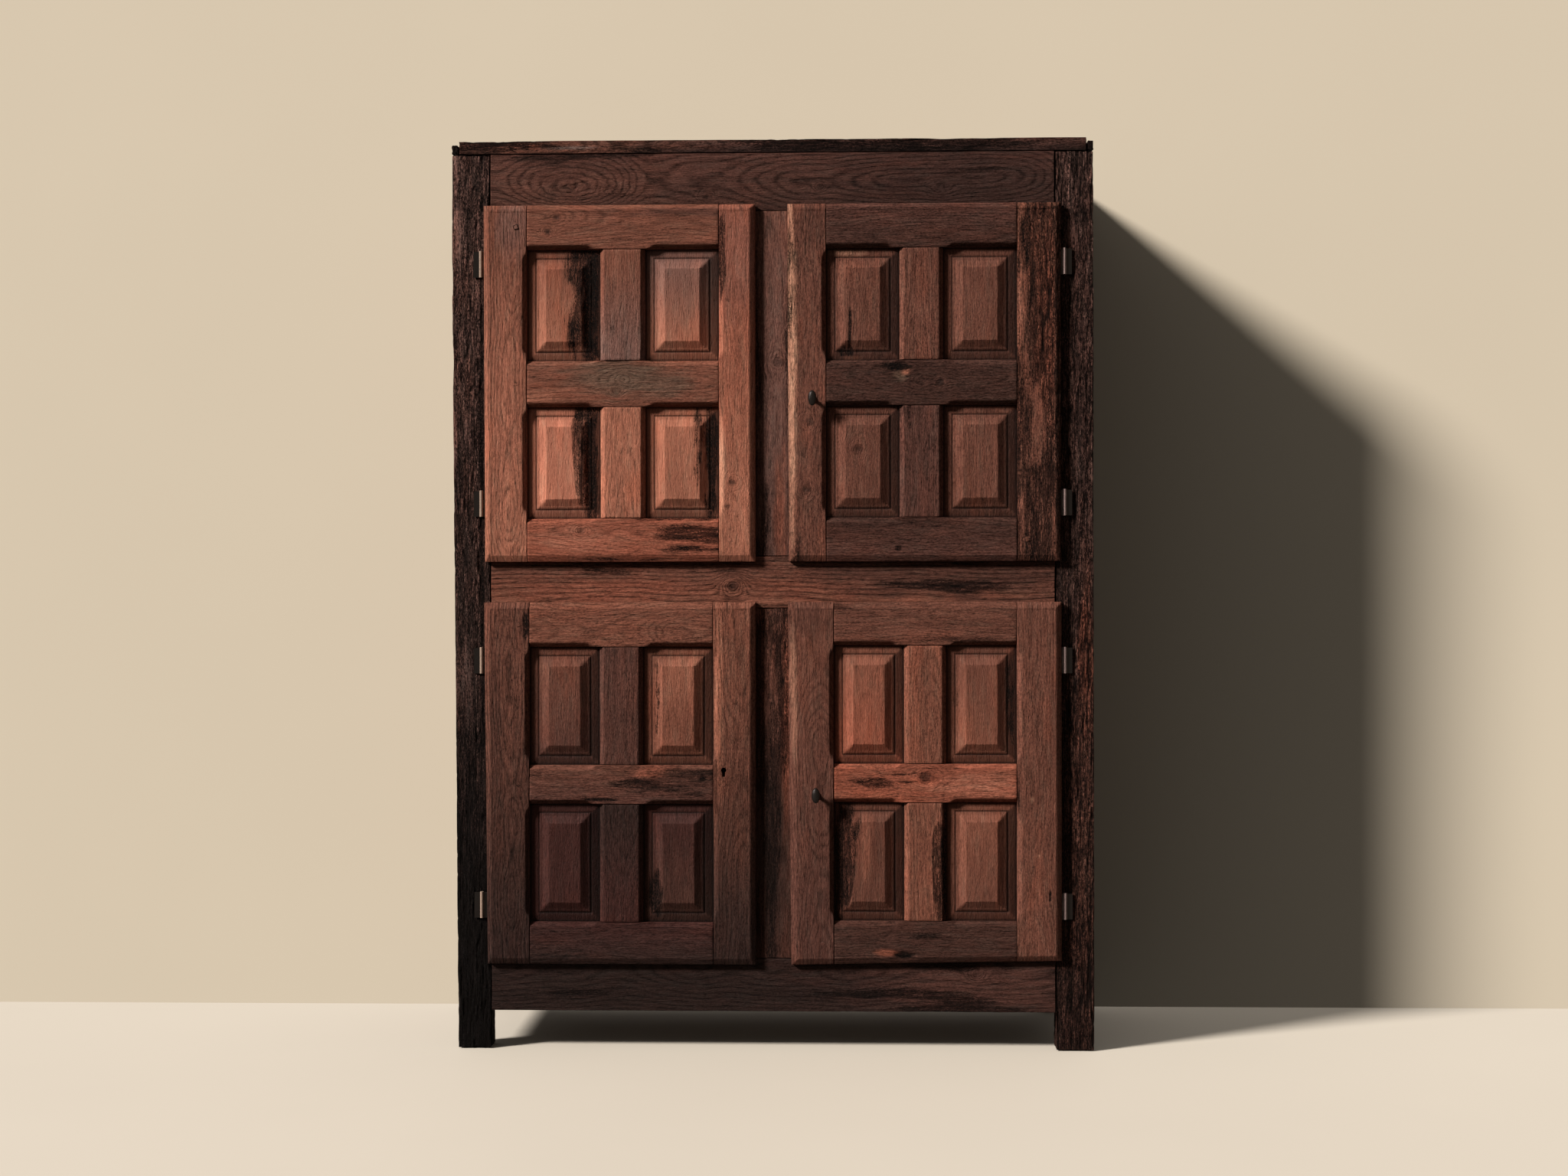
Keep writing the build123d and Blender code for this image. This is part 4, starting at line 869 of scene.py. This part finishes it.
def make_door(door):
    """All the wooden pieces of one door, but for its pegs."""
    coarse = door.form.coarse
    for i, (part, box) in enumerate(door.stiles + list(door.rails.items())):
        node = f"{door.name}_{part}"
        finish = WEATHERED if node in WEATHERED_MEMBERS else DOOR_FINISH
        make = stile_timber if part.endswith("stile") else rail_timber
        timber = make(door, part, box, door.seed + i, finish)
        stain(timber, *colours_of(door, part)[0], coarse)
        wooden_piece(node, door.body, door.slot, [timber])
    muntins = [muntin_timber(door, bay, door.seed + 10 + i) for i, bay in enumerate(door.bays_z)]
    for timber, colours in zip(muntins, colours_of(door, "muntins")):
        stain(timber, *colours, coarse)
    wooden_piece(f"{door.name}_muntins", door.body, door.slot, muntins)
    node, panels = f"{door.name}_panels", []
    faces = [end[Y] for end in corners(node)]
    bays = itertools.product(door.bays_x, door.bays_z)
    for i, (bay, colours) in enumerate(zip(bays, colours_of(door, "panels"))):
        timber = raised_timber(node, *bay, faces, door.seed + 20 + i)
        stain(timber, *colours, coarse**2)
        panels.append(timber)
    wooden_piece(node, door.body, door.slot, panels)


# ---- case
def case_piece(node, slot, boxes, along, finish, step, seed, colours):
    timbers = []
    for i, box in enumerate(boxes):
        timber = Timber(node, box, along, finish, seed + i, step=step)
        stain(timber, *colours)
        timbers.append(timber)
    wooden_piece(node, "case", slot, timbers)


# Seed, mesh step, upper and lower pigment of each post.
POSTS = {
    # Painted shade: the front left post darkens to jet towards its foot, where the light falls off towards
    # the floor.
    "front_post_left": (600, POST_STEP, ("plum", "jet")),
    "rear_post_left": (610, MEDIUM, ("umber", "bog")),
    "front_post_right": (601, POST_STEP, ("plum", "umber")),
    "rear_post_right": (611, MEDIUM, ("umber", "bog")),
}
FRONT_RAILS = {
    "bottom_rail": ("bog", "bog"),
    "mid_rail": ("chestnut", "clay"),
    "top_rail": ("walnut", "umber"),
}
# Node, slot, the axis on which its boards overlap, the grain's axis, finish, mesh step, seed, pigments.
BOARDS = (
    ("top_boards", "top_wood", Y, X, TOP_FINISH, TOP_STEP, 700, ("walnut", "bog")),
    ("top_end_caps", "top_wood", None, Y, TOP_FINISH, TOP_STEP, 710, ("bog", "pitch")),
    ("rear_rails", "inner_wood", None, X, INSIDE, COARSE, 720, ("raw_dark", "raw_dark")),
    ("back_boards", "inner_wood", X, Z, ROUGH_BACK, MEDIUM, 730, ("raw", "raw_dark")),
    ("floor_boards", "inner_wood", Y, X, INSIDE, MEDIUM, 740, ("raw", "raw")),
    ("middle_shelf", "inner_wood", Y, X, INSIDE, MEDIUM, 750, ("raw", "raw")),
    ("loose_shelves", "inner_wood", Y, X, INSIDE, MEDIUM, 760, ("raw", "raw")),
    ("shelf_cleats", "inner_wood", None, Y, INSIDE, COARSE, 770, ("raw_dark", "raw_dark")),
)


def make_posts():
    for node, (seed, step, colours) in POSTS.items():
        timber = Timber(node, corners(node), Z, HEWN, seed, step=step, arris=HEWN_ARRIS)
        stain(timber, *colours)
        if node == "front_post_left":
            outer = (timber.high[X] - timber.points[:, X]) / (timber.high[X] - timber.low[X])
            drop = np.clip(1 - timber.points[:, Z] / POST_TAPER_TOP, 0, 1)
            timber.points[:, X] += POST_TAPER * outer * drop
        wooden_piece(node, "case", "post_wood", [timber])


def make_front():
    """The rails and centre stiles between the front posts."""
    inner_x = (corners("front_post_left")[1][X], corners("front_post_right")[0][X])
    for i, (node, colours) in enumerate(FRONT_RAILS.items()):
        box = trimmed(corners(node), X, *inner_x)
        case_piece(node, "rail_wood", [box], X, RAIL_FINISH, FINE, 620 + i, colours)
    bottom, middle, top = (corners(node) for node in FRONT_RAILS)
    spans = ((bottom[1][Z], middle[0][Z]), (middle[1][Z], top[0][Z]))
    stiles = sorted(solid_boxes("centre_stiles"), key=lambda box: box[0][Z])
    boxes = [trimmed(box, Z, *span) for box, span in zip(stiles, spans)]
    case_piece("centre_stiles", "rail_wood", boxes, Z, STILE_FINISH, FINE, 630, ("chestnut", "umber"))


def make_sides():
    inner_y = (corners("front_post_left")[1][Y], corners("rear_post_left")[0][Y])
    rails = [trimmed(box, Y, *inner_y) for box in solid_boxes("side_rails")]
    case_piece("side_rails", "rail_wood", rails, Y, RAIL_FINISH, MEDIUM, 640, ("umber", "umber"))
    panels = []
    for i, box in enumerate(solid_boxes("side_panels")):
        quarter = 1 if box[0][X] > 0 else -1
        low, high = spun_box(box, quarter)
        bay_a = sorted((quarter * inner_y[0], quarter * inner_y[1]))
        bay_z = (low[Z] + PANEL_TONGUE, high[Z] - PANEL_TONGUE)
        timber = raised_timber("side_panels", bay_a, bay_z, (low[Y], high[Y]), 650 + i, step=MEDIUM)
        stain(timber, "walnut", "umber")
        timber.spin(quarter)
        panels.append(timber)
    wooden_piece("side_panels", "case", "rail_wood", panels)


def make_boards():
    """The top, the back, the floor, the shelves and what holds them."""
    for node, slot, beside, *rest in BOARDS:
        boxes = solid_boxes(node)
        case_piece(node, slot, boxes if beside is None else parted(boxes, beside), *rest)


# ---- pegs
PEG_HEAD = 0.0058  # half its width
PEG_DEPTH = 0.010
PEG_REACH = 0.010  # a peg this near is the loose one
PEG_STEP = (0.0011, 0.0011)
LOOSE_PEG = (-0.496, 1.609)
# How far a head is sunk behind the solid's, and rounded at its rim; where the dirt round it starts and ends.
PegHead = namedtuple("PegHead", "sunk rounded dirt_start dirt_end")
LOOSE, FLUSH = PegHead(0.0002, 0.0002, 0.58, 0.78), PegHead(0.0010, 0.0006, 0.84, 0.98)


def peg_timber(door, i, low, high):
    """The end of a draw-bore peg, stained with its stile and whittled to an uneven round."""
    middle = (low + high) / 2
    head = LOOSE if np.hypot(*(middle[[X, Z]] - LOOSE_PEG)) < PEG_REACH else FLUSH
    start = np.array([middle[X] - PEG_HEAD, low[Y] + head.sunk, middle[Z] - PEG_HEAD])
    size = np.array([2 * PEG_HEAD, PEG_DEPTH, 2 * PEG_HEAD])
    box = (start, start + size)
    timber = Timber(f"{door.name}_pegs", box, Y, PANEL_FINISH, 800 + i, step=PEG_STEP, arris=(0.0,))
    offset = timber.points[:, [X, Z]] - middle[[X, Z]]
    square = np.abs(offset).max(axis=1)
    length = np.maximum(np.hypot(offset[:, 0], offset[:, 1]), 1e-9)
    turn = np.arctan2(offset[:, 1], offset[:, 0])
    radius = 1 + 0.12 * np.cos(4 * turn + i) + 0.06 * np.sin(3 * turn + 2 * i)
    timber.points[:, [X, Z]] = middle[[X, Z]] + offset * (square * radius / length)[:, None]
    rim = square / PEG_HEAD
    timber.points[:, Y] += head.rounded * ramp(rim, 0.6, 1.0)
    stile = 0 if middle[X] < sum(door.inner_x) / 2 else 1
    part, (timber.low, timber.high) = door.stiles[stile]
    timber.node, timber.along, timber.seed = f"{door.name}_{part}", Z, door.seed + stile
    stain(timber, *colours_of(door, part)[0])
    timber.grain, timber.ring = timber.start[:, [Y, X, Z]], np.hypot(offset[:, 0], offset[:, 1])
    timber.groove = 0.9 * ramp(rim, head.dirt_start, head.dirt_end)
    timber.worn = np.zeros(len(rim))
    return timber


def make_pegs(door):
    """The ends of the pegs: flush with the door's face, but for one."""
    node = f"{door.name}_pegs"
    timbers = [peg_timber(door, i, *box) for i, box in enumerate(solid_boxes(node))]
    wooden_piece(node, door.body, door.slot, timbers)


# ---- materials
class Nodes:
    """A node tree, with short calls for the few kinds of node used here."""

    def __init__(self, tree):
        self.tree = tree
        tree.nodes.clear()

    def node(self, kind, inputs=(), **settings):
        made = self.tree.nodes.new(f"ShaderNode{kind}")
        for key, value in settings.items():
            setattr(made, key, value)
        for key, value in dict(inputs).items():
            if isinstance(value, bpy.types.NodeSocket):
                self.tree.links.new(value, made.inputs[key])
            else:
                made.inputs[key].default_value = value
        return made

    def attribute(self, name, output):
        return self.node("Attribute", attribute_name=name, attribute_type="GEOMETRY").outputs[output]

    def math(self, operation, *values):
        return self.node("Math", enumerate(values), operation=operation).outputs[0]

    def times(self, *values):
        return self.math("MULTIPLY", *values)

    def scaled(self, value, factor, plus):
        """The value times the factor, and then plus something."""
        return self.math("MULTIPLY_ADD", value, factor, plus)

    def vector_math(self, operation, inputs):
        return self.node("VectorMath", inputs, operation=operation).outputs[0]

    def stretch(self, vector, *factors):
        return self.vector_math("MULTIPLY", {0: vector, 1: factors})

    def brighten(self, colour, factor):
        return self.vector_math("SCALE", {0: colour, "Scale": factor})

    def split(self, vector):
        return self.node("SeparateXYZ", {0: vector}).outputs

    def noise(self, vector, detail=2.0, roughness=0.5):
        inputs = {"Vector": vector, "Scale": 1.0, "Detail": detail, "Roughness": roughness}
        return self.node("TexNoise", inputs).outputs["Fac"]

    def seams(self, vector, factors, bend):
        """The distance to the nearest edge between cells that are stretched by the factors and then bent."""
        stretched = self.stretch(vector, *factors)
        swirl = self.node("TexNoise", {"Vector": stretched, "Scale": 0.6, "Detail": 2.0}).outputs["Color"]
        bent = self.vector_math("ADD", {0: stretched, 1: self.brighten(swirl, bend)})
        return self.node("TexVoronoi", {"Vector": bent}, feature="DISTANCE_TO_EDGE").outputs["Distance"]

    def remap(self, value, low, high, to_low=0.0, to_high=1.0, interpolation="SMOOTHSTEP"):
        inputs = {"Value": value, "From Min": low, "From Max": high, "To Min": to_low, "To Max": to_high}
        return self.node("MapRange", inputs, interpolation_type=interpolation).outputs[0]

    def mix(self, share, under, over):
        return self.node("Mix", {0: share, 6: under, 7: over}, data_type="RGBA").outputs[2]


class Shader(Nodes):
    """A material's nodes."""

    def __init__(self, name):
        self.material = bpy.data.materials.new(name)
        self.material.use_nodes = True
        super().__init__(self.material.node_tree)

    def surface(self, colour, roughness, height, bump, specular, metallic=0.0):
        normal = self.node("Bump", {"Height": height, "Strength": 1.0, "Distance": bump}).outputs[0]
        inputs = {"Base Color": colour, "Roughness": roughness, "Normal": normal, "Metallic": metallic}
        return self.node("BsdfPrincipled", {**inputs, "Specular IOR Level": specular}).outputs[0]

    def finish(self, surface):
        output = self.node("OutputMaterial", {"Surface": surface})
        output.is_active_output = True
        return self.material


# How often each texture of the wood repeats along and across the grain in a metre, its detail and roughness.
WOOD_TEXTURES = {
    "broad": (6.0, 42.0, 4.0, 0.5),
    "cloud": (22.0, 95.0, 4.0, 0.6),
    "fibre": (30.0, 330.0, 6.0, 0.80),
    "fleck": (170.0, 400.0, 3.0, 0.75),
    "pore": (55.0, 480.0, 1.0, 0.5),
    "seam": (11.0, 150.0, 5.0, 0.62),
}
CHECK_SEAMS = ((22.0, 130.0, 130.0), 0.9)
COAL_SEAMS = ((30.0, 170.0, 170.0), 1.2)
DULL_TINT = (0.82, 0.94, 0.96)
WOOD_RELIEF = 0.0024
WOOD_SPECULAR = 0.05


class Wood(Shader):
    """Old open-grained wood: fibres, rings, pores, soot, dirt in its cracks, painted shade in creases, pale
    worn arrises and painted glints on rough ridges.
    """

    def __init__(self, name, ring_width, ring_share, pore_share, ash):
        super().__init__(name)
        self.ash = ash
        self.place, self.tint, state = (self.attribute(key, "Vector") for key in ("grain", "tint", "state"))
        numbers = (self.attribute(key, "Fac") for key in ("rough", "ring", "lines", "coarse"))
        self.rough, self.ring, self.lines, self.coarse = numbers
        self.groove, self.soot, self.worn = self.split(state)
        textures = (self.texture(*values) for values in WOOD_TEXTURES.values())
        self.broad, self.cloud, self.fibre, self.fleck, self.pore, self.seam = textures
        self.late = self.late_wood(ring_width)
        self.pores = self.times(self.remap(self.pore, 0.55, 0.66), self.scaled(self.late, 0.7, 0.3))
        self.checks = self.check_share()
        self.light = self.lightness(ring_share, pore_share)
        dull = self.stretch(self.tint, *DULL_TINT)
        self.hue = self.mix(self.remap(self.cloud, 0.42, 0.70), self.tint, dull)

    def texture(self, along, across, detail, roughness):
        return self.noise(self.stretch(self.place, along, across, across), detail, roughness)

    def late_wood(self, ring_width):
        """From 0 to 1, the dark line of each growth ring."""
        count = self.scaled(self.ring, 2 * math.pi / ring_width, self.times(self.broad, 6.0))
        wave = self.math("POWER", self.scaled(self.math("SINE", count), 0.5, 0.5), 3.0)
        return self.times(self.times(wave, self.lines), self.remap(self.cloud, 0.20, 0.60))

    def check_share(self):
        """From 0 to 1, where fine cracks run: along the seams of wood that is rough."""
        off = self.math("ABSOLUTE", self.math("SUBTRACT", self.seam, 0.5))
        seams = self.remap(self.seams(self.place, *CHECK_SEAMS), 0.10, 0.03)
        seams = self.math("MAXIMUM", seams, self.remap(off, 0.034, 0.010))
        return self.times(seams, self.remap(self.scaled(self.cloud, 0.9, self.rough), 0.80, 1.25))

    def lightness(self, ring_share, pore_share):
        """How much lighter or darker than its tint the wood is, by its fibres, clouds, rings and pores."""
        spread = self.scaled(self.fleck, 2.4, self.scaled(self.fibre, 2.6, -2.5))
        light = self.math("MAXIMUM", self.scaled(spread, self.coarse, 1.02), 0.10)
        clouds = ((self.broad, 0.6, 0.70), (self.cloud, 0.9, 0.56))
        lines = ((self.late, -ring_share, 1.06), (self.pores, -pore_share, 1.06))
        for texture, share, level in clouds + lines:
            light = self.times(light, self.scaled(texture, share, level))
        return light

    def clean_colour(self):
        """The colour before dirt and soot, paler at worn arrises, with painted glints on the ridges of rough
        wood.
        """
        colour = self.brighten(self.hue, self.light)
        pale = self.times(self.worn, self.remap(self.fibre, 0.35, 0.6))
        worn = self.brighten(self.tint, self.math("ADD", self.light, 0.55))
        colour = self.mix(self.times(pale, 0.5), colour, worn)
        if self.ash:
            colour = self.mix(self.times(pale, self.ash), colour, rgba("ash"))
        # Painted glints: the high fibres of rough wood are made much paler, standing for light catching them.
        ridge = self.remap(self.scaled(self.fleck, 0.8, self.fibre), 0.90, 1.06)
        share = self.times(self.times(ridge, self.rough), 0.25 + self.ash)
        return self.mix(share, colour, self.brighten(self.hue, 2.8))

    def burnt_share(self):
        """From 0 to 1, where soot has burnt in, broken up by the grain."""
        ragged = self.scaled(self.math("SUBTRACT", self.cloud, 0.5), 1.6, self.soot)
        ragged = self.scaled(self.math("SUBTRACT", self.fibre, 0.5), 3.0, ragged)
        return self.times(self.remap(ragged, 0.32, 0.80), self.remap(self.soot, 0.02, 0.25))

    def coal(self, fissure):
        """The colour of burnt wood."""
        crust = self.remap(self.scaled(self.fleck, 0.9, self.fibre), 0.92, 1.14)
        colour = self.mix(crust, rgba("pitch", 0.55), self.brighten(self.hue, 0.95))
        return self.mix(fissure, colour, rgba("pitch", 0.12))

    def relief(self, burnt, fissure):
        height = self.times(self.scaled(self.fleck, 0.6, self.fibre), self.scaled(self.coarse, 0.7, 0.15))
        sinking = ((self.pores, -0.6), (self.late, -0.15), (self.checks, -1.1))
        for texture, depth in (*sinking, (burnt, self.scaled(fissure, -1.2, -0.2))):
            height = self.scaled(texture, depth, height)
        return height

    def assembled(self, roughness):
        """The whole material, whose smoothest places have this roughness."""
        # Grooves darken towards pitch: dirt in cracks, and painted shade in panels' creases and in the
        # keyhole.
        dirt_and_shade_lines = self.times(self.groove, self.remap(self.fibre, 0.25, 0.55, 0.65, 1.0))
        dirt_and_shade_lines = self.math("MAXIMUM", dirt_and_shade_lines, self.times(self.checks, 0.85))
        burnt = self.burnt_share()
        fissure = self.remap(self.seams(self.place, *COAL_SEAMS), 0.13, 0.03)
        colour = self.mix(dirt_and_shade_lines, self.clean_colour(), rgba("pitch", 0.35))
        colour = self.mix(self.times(burnt, 0.97), colour, self.coal(fissure))
        dull = self.remap(self.light, 0.45, 1.2, roughness + 0.22, roughness)
        dull = self.scaled(self.math("MAXIMUM", dirt_and_shade_lines, burnt), 0.2, dull)
        relief = self.relief(burnt, fissure)
        return self.finish(self.surface(colour, dull, relief, WOOD_RELIEF, WOOD_SPECULAR))


DARK_IRON = (0.016, 0.013, 0.012, 1.0)
PITTED_IRON = (0.02, 0.015, 0.013, 1.0)
DULL_IRON = (0.290, 0.200, 0.150, 1.0)
BRIGHT_IRON = (0.500, 0.350, 0.320, 1.0)
IRON_RELIEF = 0.0006
IRON_SPECULAR = 0.10
PIN_AXIS, PIN_RADIUS, PIN_EDGE = 0.571, 0.0036, 0.0006


def iron_material(name, rust, pin_axis=None):
    """Hand-forged iron, dark but for the hinges' barrels: brown on the left and bare on the right. The
    hinges' leaves stay near-black: painted shade where the door and the post shade them, and soot.
    """
    s = Shader(name)
    place = s.node("TexCoord").outputs["Object"]
    x = s.split(place)[0]
    blotch = s.noise(s.stretch(place, 140.0, 140.0, 140.0), 5.0, 0.65)
    pits = s.noise(s.stretch(place, 900.0, 900.0, 900.0), 2.0)
    share = s.remap(blotch, 0.62 - rust, 0.78 - rust)
    # Painted shade with soot: on the hinges only the barrel gets the lighter iron, and the leaves stay
    # near-black.
    if pin_axis:
        from_axis = s.math("ABSOLUTE", s.math("SUBTRACT", s.math("ABSOLUTE", x), pin_axis))
        share = s.times(share, s.remap(from_axis, PIN_RADIUS + PIN_EDGE, PIN_RADIUS))
    colour = s.mix(share, DARK_IRON, s.mix(s.remap(x, -0.1, 0.1), DULL_IRON, BRIGHT_IRON))
    colour = s.mix(s.remap(pits, 0.55, 0.75), colour, PITTED_IRON)
    roughness = s.remap(share, 0.0, 1.0, 0.30, 0.72)
    metallic = s.remap(share, 0.0, 1.0, 0.6, 0.1)
    height = s.scaled(pits, 0.5, blotch)
    return s.finish(s.surface(colour, roughness, height, IRON_RELIEF, IRON_SPECULAR, metallic))


# Ring width in metres, strength of the rings and of the pores, ash on worn places, lowest roughness.
WOODS = {
    "upper_left_wood": (0.0056, 0.55, 0.26, 0.0, 0.50),
    "upper_right_wood": (0.0052, 0.55, 0.26, 0.0, 0.50),
    "lower_left_wood": (0.0060, 0.60, 0.26, 0.0, 0.48),
    "lower_right_wood": (0.0056, 0.55, 0.26, 0.0, 0.50),
    "post_wood": (0.0060, 0.40, 0.40, 0.55, 0.56),
    "rail_wood": (0.0078, 0.62, 0.45, 0.0, 0.52),
    "top_wood": (0.0060, 0.60, 0.40, 0.35, 0.56),
    "inner_wood": (0.0070, 0.55, 0.30, 0.0, 0.62),
}
MATERIALS = {name: Wood(name, *grain).assembled(roughness) for name, (*grain, roughness) in WOODS.items()}
MATERIALS["hinge_iron"] = iron_material("hinge_iron", 0.40, PIN_AXIS)
MATERIALS["knob_iron"] = iron_material("knob_iron", -0.10)
IRON_NODES = {
    "hinge_iron": ["hinge_frame_leaves", "hinge_pins"] + [f"{name}_hinge_leaves" for name in DOOR_STAINS],
    "knob_iron": ["lower_turn_knob", "lower_latch_tongue", "upper_turn_knob", "upper_latch_tongue"],
}


def finish_ironwork():
    for material, nodes in IRON_NODES.items():
        for node in nodes:
            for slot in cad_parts[node].material_slots:
                slot.material = MATERIALS[material]


# ---- stage, light and camera
IMAGE_WIDTH = 2048
FOCAL_PIXELS = 2936.5
SENSOR_WIDTH = 36.0
CAMERA_PLACE = (0.162, -4.608, 0.911)
CAMERA_TURN = (-0.077, -0.082, 1.800)  # pitch up, roll, and turn to the left, in degrees
FLOOR_REACH = 7
WALL_REACH, WALL_Y = 5, 0.262
WALL_COLOUR = (214, 200, 178)
FLOOR_COLOUR = (196, 186, 172)
KEY_FROM = (-2.36, -1.40, 1.72)
KEY_SOFTNESS = 11.0  # degrees
KEY_STRENGTH = 6.6
KEY_COLOUR = (1.0, 0.97, 0.93)
FILL_FROM = (-0.60, 0.77, 0.20)
FILL_FRONT = 0.06
FILL_BEHIND = 0.56
FILL_BELOW = 0.20  # share of the fill that comes from below the horizon
FILL_COLOUR = (1.0, 0.98, 0.95, 1.0)


def matte(name, colour, one_sided=False):
    """A plain matte paint with the faintest mottling, which can be clear when seen from behind."""
    s = Shader(name)
    mottle = s.noise(s.node("TexCoord").outputs["Object"], 3.0)
    shade = s.brighten(rgba(colour)[:3], s.scaled(mottle, 0.08, 0.96))
    surface = s.surface(shade, 0.9, mottle, 0.0005, 0.2)
    if one_sided:
        behind = s.node("NewGeometry").outputs["Backfacing"]
        clear = s.node("BsdfTransparent").outputs[0]
        surface = s.node("MixShader", {0: behind, 1: surface, 2: clear}).outputs[0]
    return s.finish(surface)


def stage_plane(name, points, material):
    mesh = bpy.data.meshes.new(name)
    mesh.from_pydata(points, [], [(0, 1, 2, 3)])
    mesh.materials.append(material)
    made = add_object(name, mesh)
    return made


def make_stage():
    far = FLOOR_REACH
    points = [(-far, -far, 0), (far, -far, 0), (far, far, 0), (-far, far, 0)]
    floor = stage_plane("floor", points, matte("floor_paint", FLOOR_COLOUR))
    floor.visible_diffuse = False
    far, y = WALL_REACH, WALL_Y
    points = [(-far, y, 0), (far, y, 0), (far, y, far), (-far, y, far)]
    backdrop = stage_plane("backdrop", points, matte("wall_paint", WALL_COLOUR, one_sided=True))
    for ray in ("diffuse", "glossy", "transmission", "volume_scatter", "shadow"):
        setattr(backdrop, f"visible_{ray}", False)


def make_key():
    lamp = bpy.data.lights.new("key_light", "SUN")
    lamp.angle, lamp.energy, lamp.color = math.radians(KEY_SOFTNESS), KEY_STRENGTH, KEY_COLOUR
    add_object("key_light", lamp).rotation_euler = Vector(KEY_FROM).to_track_quat("Z", "Y").to_euler()


def make_fill():
    """Soft light from all round, most from behind at the left, and the wall's colour where it is seen."""
    world = bpy.data.worlds.new("studio")
    world.use_nodes = True
    s = Nodes(world.node_tree)
    direction = s.node("TexCoord").outputs["Generated"]
    toward = s.node("VectorMath", {0: direction, 1: FILL_FROM}, operation="DOT_PRODUCT").outputs["Value"]
    level = s.remap(toward, -0.9, 0.9, FILL_FRONT, FILL_BEHIND, "LINEAR")
    above = s.remap(s.split(direction)[2], -0.05, 0.30, FILL_BELOW, 1.0, "LINEAR")
    fill = s.node("Background", {"Color": FILL_COLOUR, "Strength": s.times(level, above)}).outputs[0]
    seen = s.node("Background", {"Color": rgba(WALL_COLOUR)}).outputs[0]
    path = s.node("LightPath").outputs
    shown = path["Is Camera Ray"]
    for ray in ("Is Glossy Ray", "Is Transmission Ray"):
        shown = s.math("MAXIMUM", shown, path[ray])
    chosen = s.node("MixShader", {0: shown, 1: fill, 2: seen}).outputs[0]
    s.node("OutputWorld", {"Surface": chosen})
    bpy.context.scene.world = world


def make_camera():
    data = bpy.data.cameras.new("camera")
    data.sensor_width = SENSOR_WIDTH
    data.lens = FOCAL_PIXELS / IMAGE_WIDTH * SENSOR_WIDTH
    camera = add_object("camera", data)
    camera.location = CAMERA_PLACE
    pitch, roll, turn = (math.radians(angle) for angle in CAMERA_TURN)
    camera.rotation_euler = (math.pi / 2 + pitch, 0.0, turn)
    camera.rotation_euler.rotate_axis("Z", roll)
    bpy.context.scene.camera = camera


make_camera()
make_stage()
make_key()
make_fill()
make_posts()
make_front()
make_sides()
make_boards()
for number, name in enumerate(DOOR_STAINS):
    door = Door(name, number)
    make_door(door)
    make_pegs(door)
finish_ironwork()
bpy.context.scene.view_settings.view_transform = "Standard"
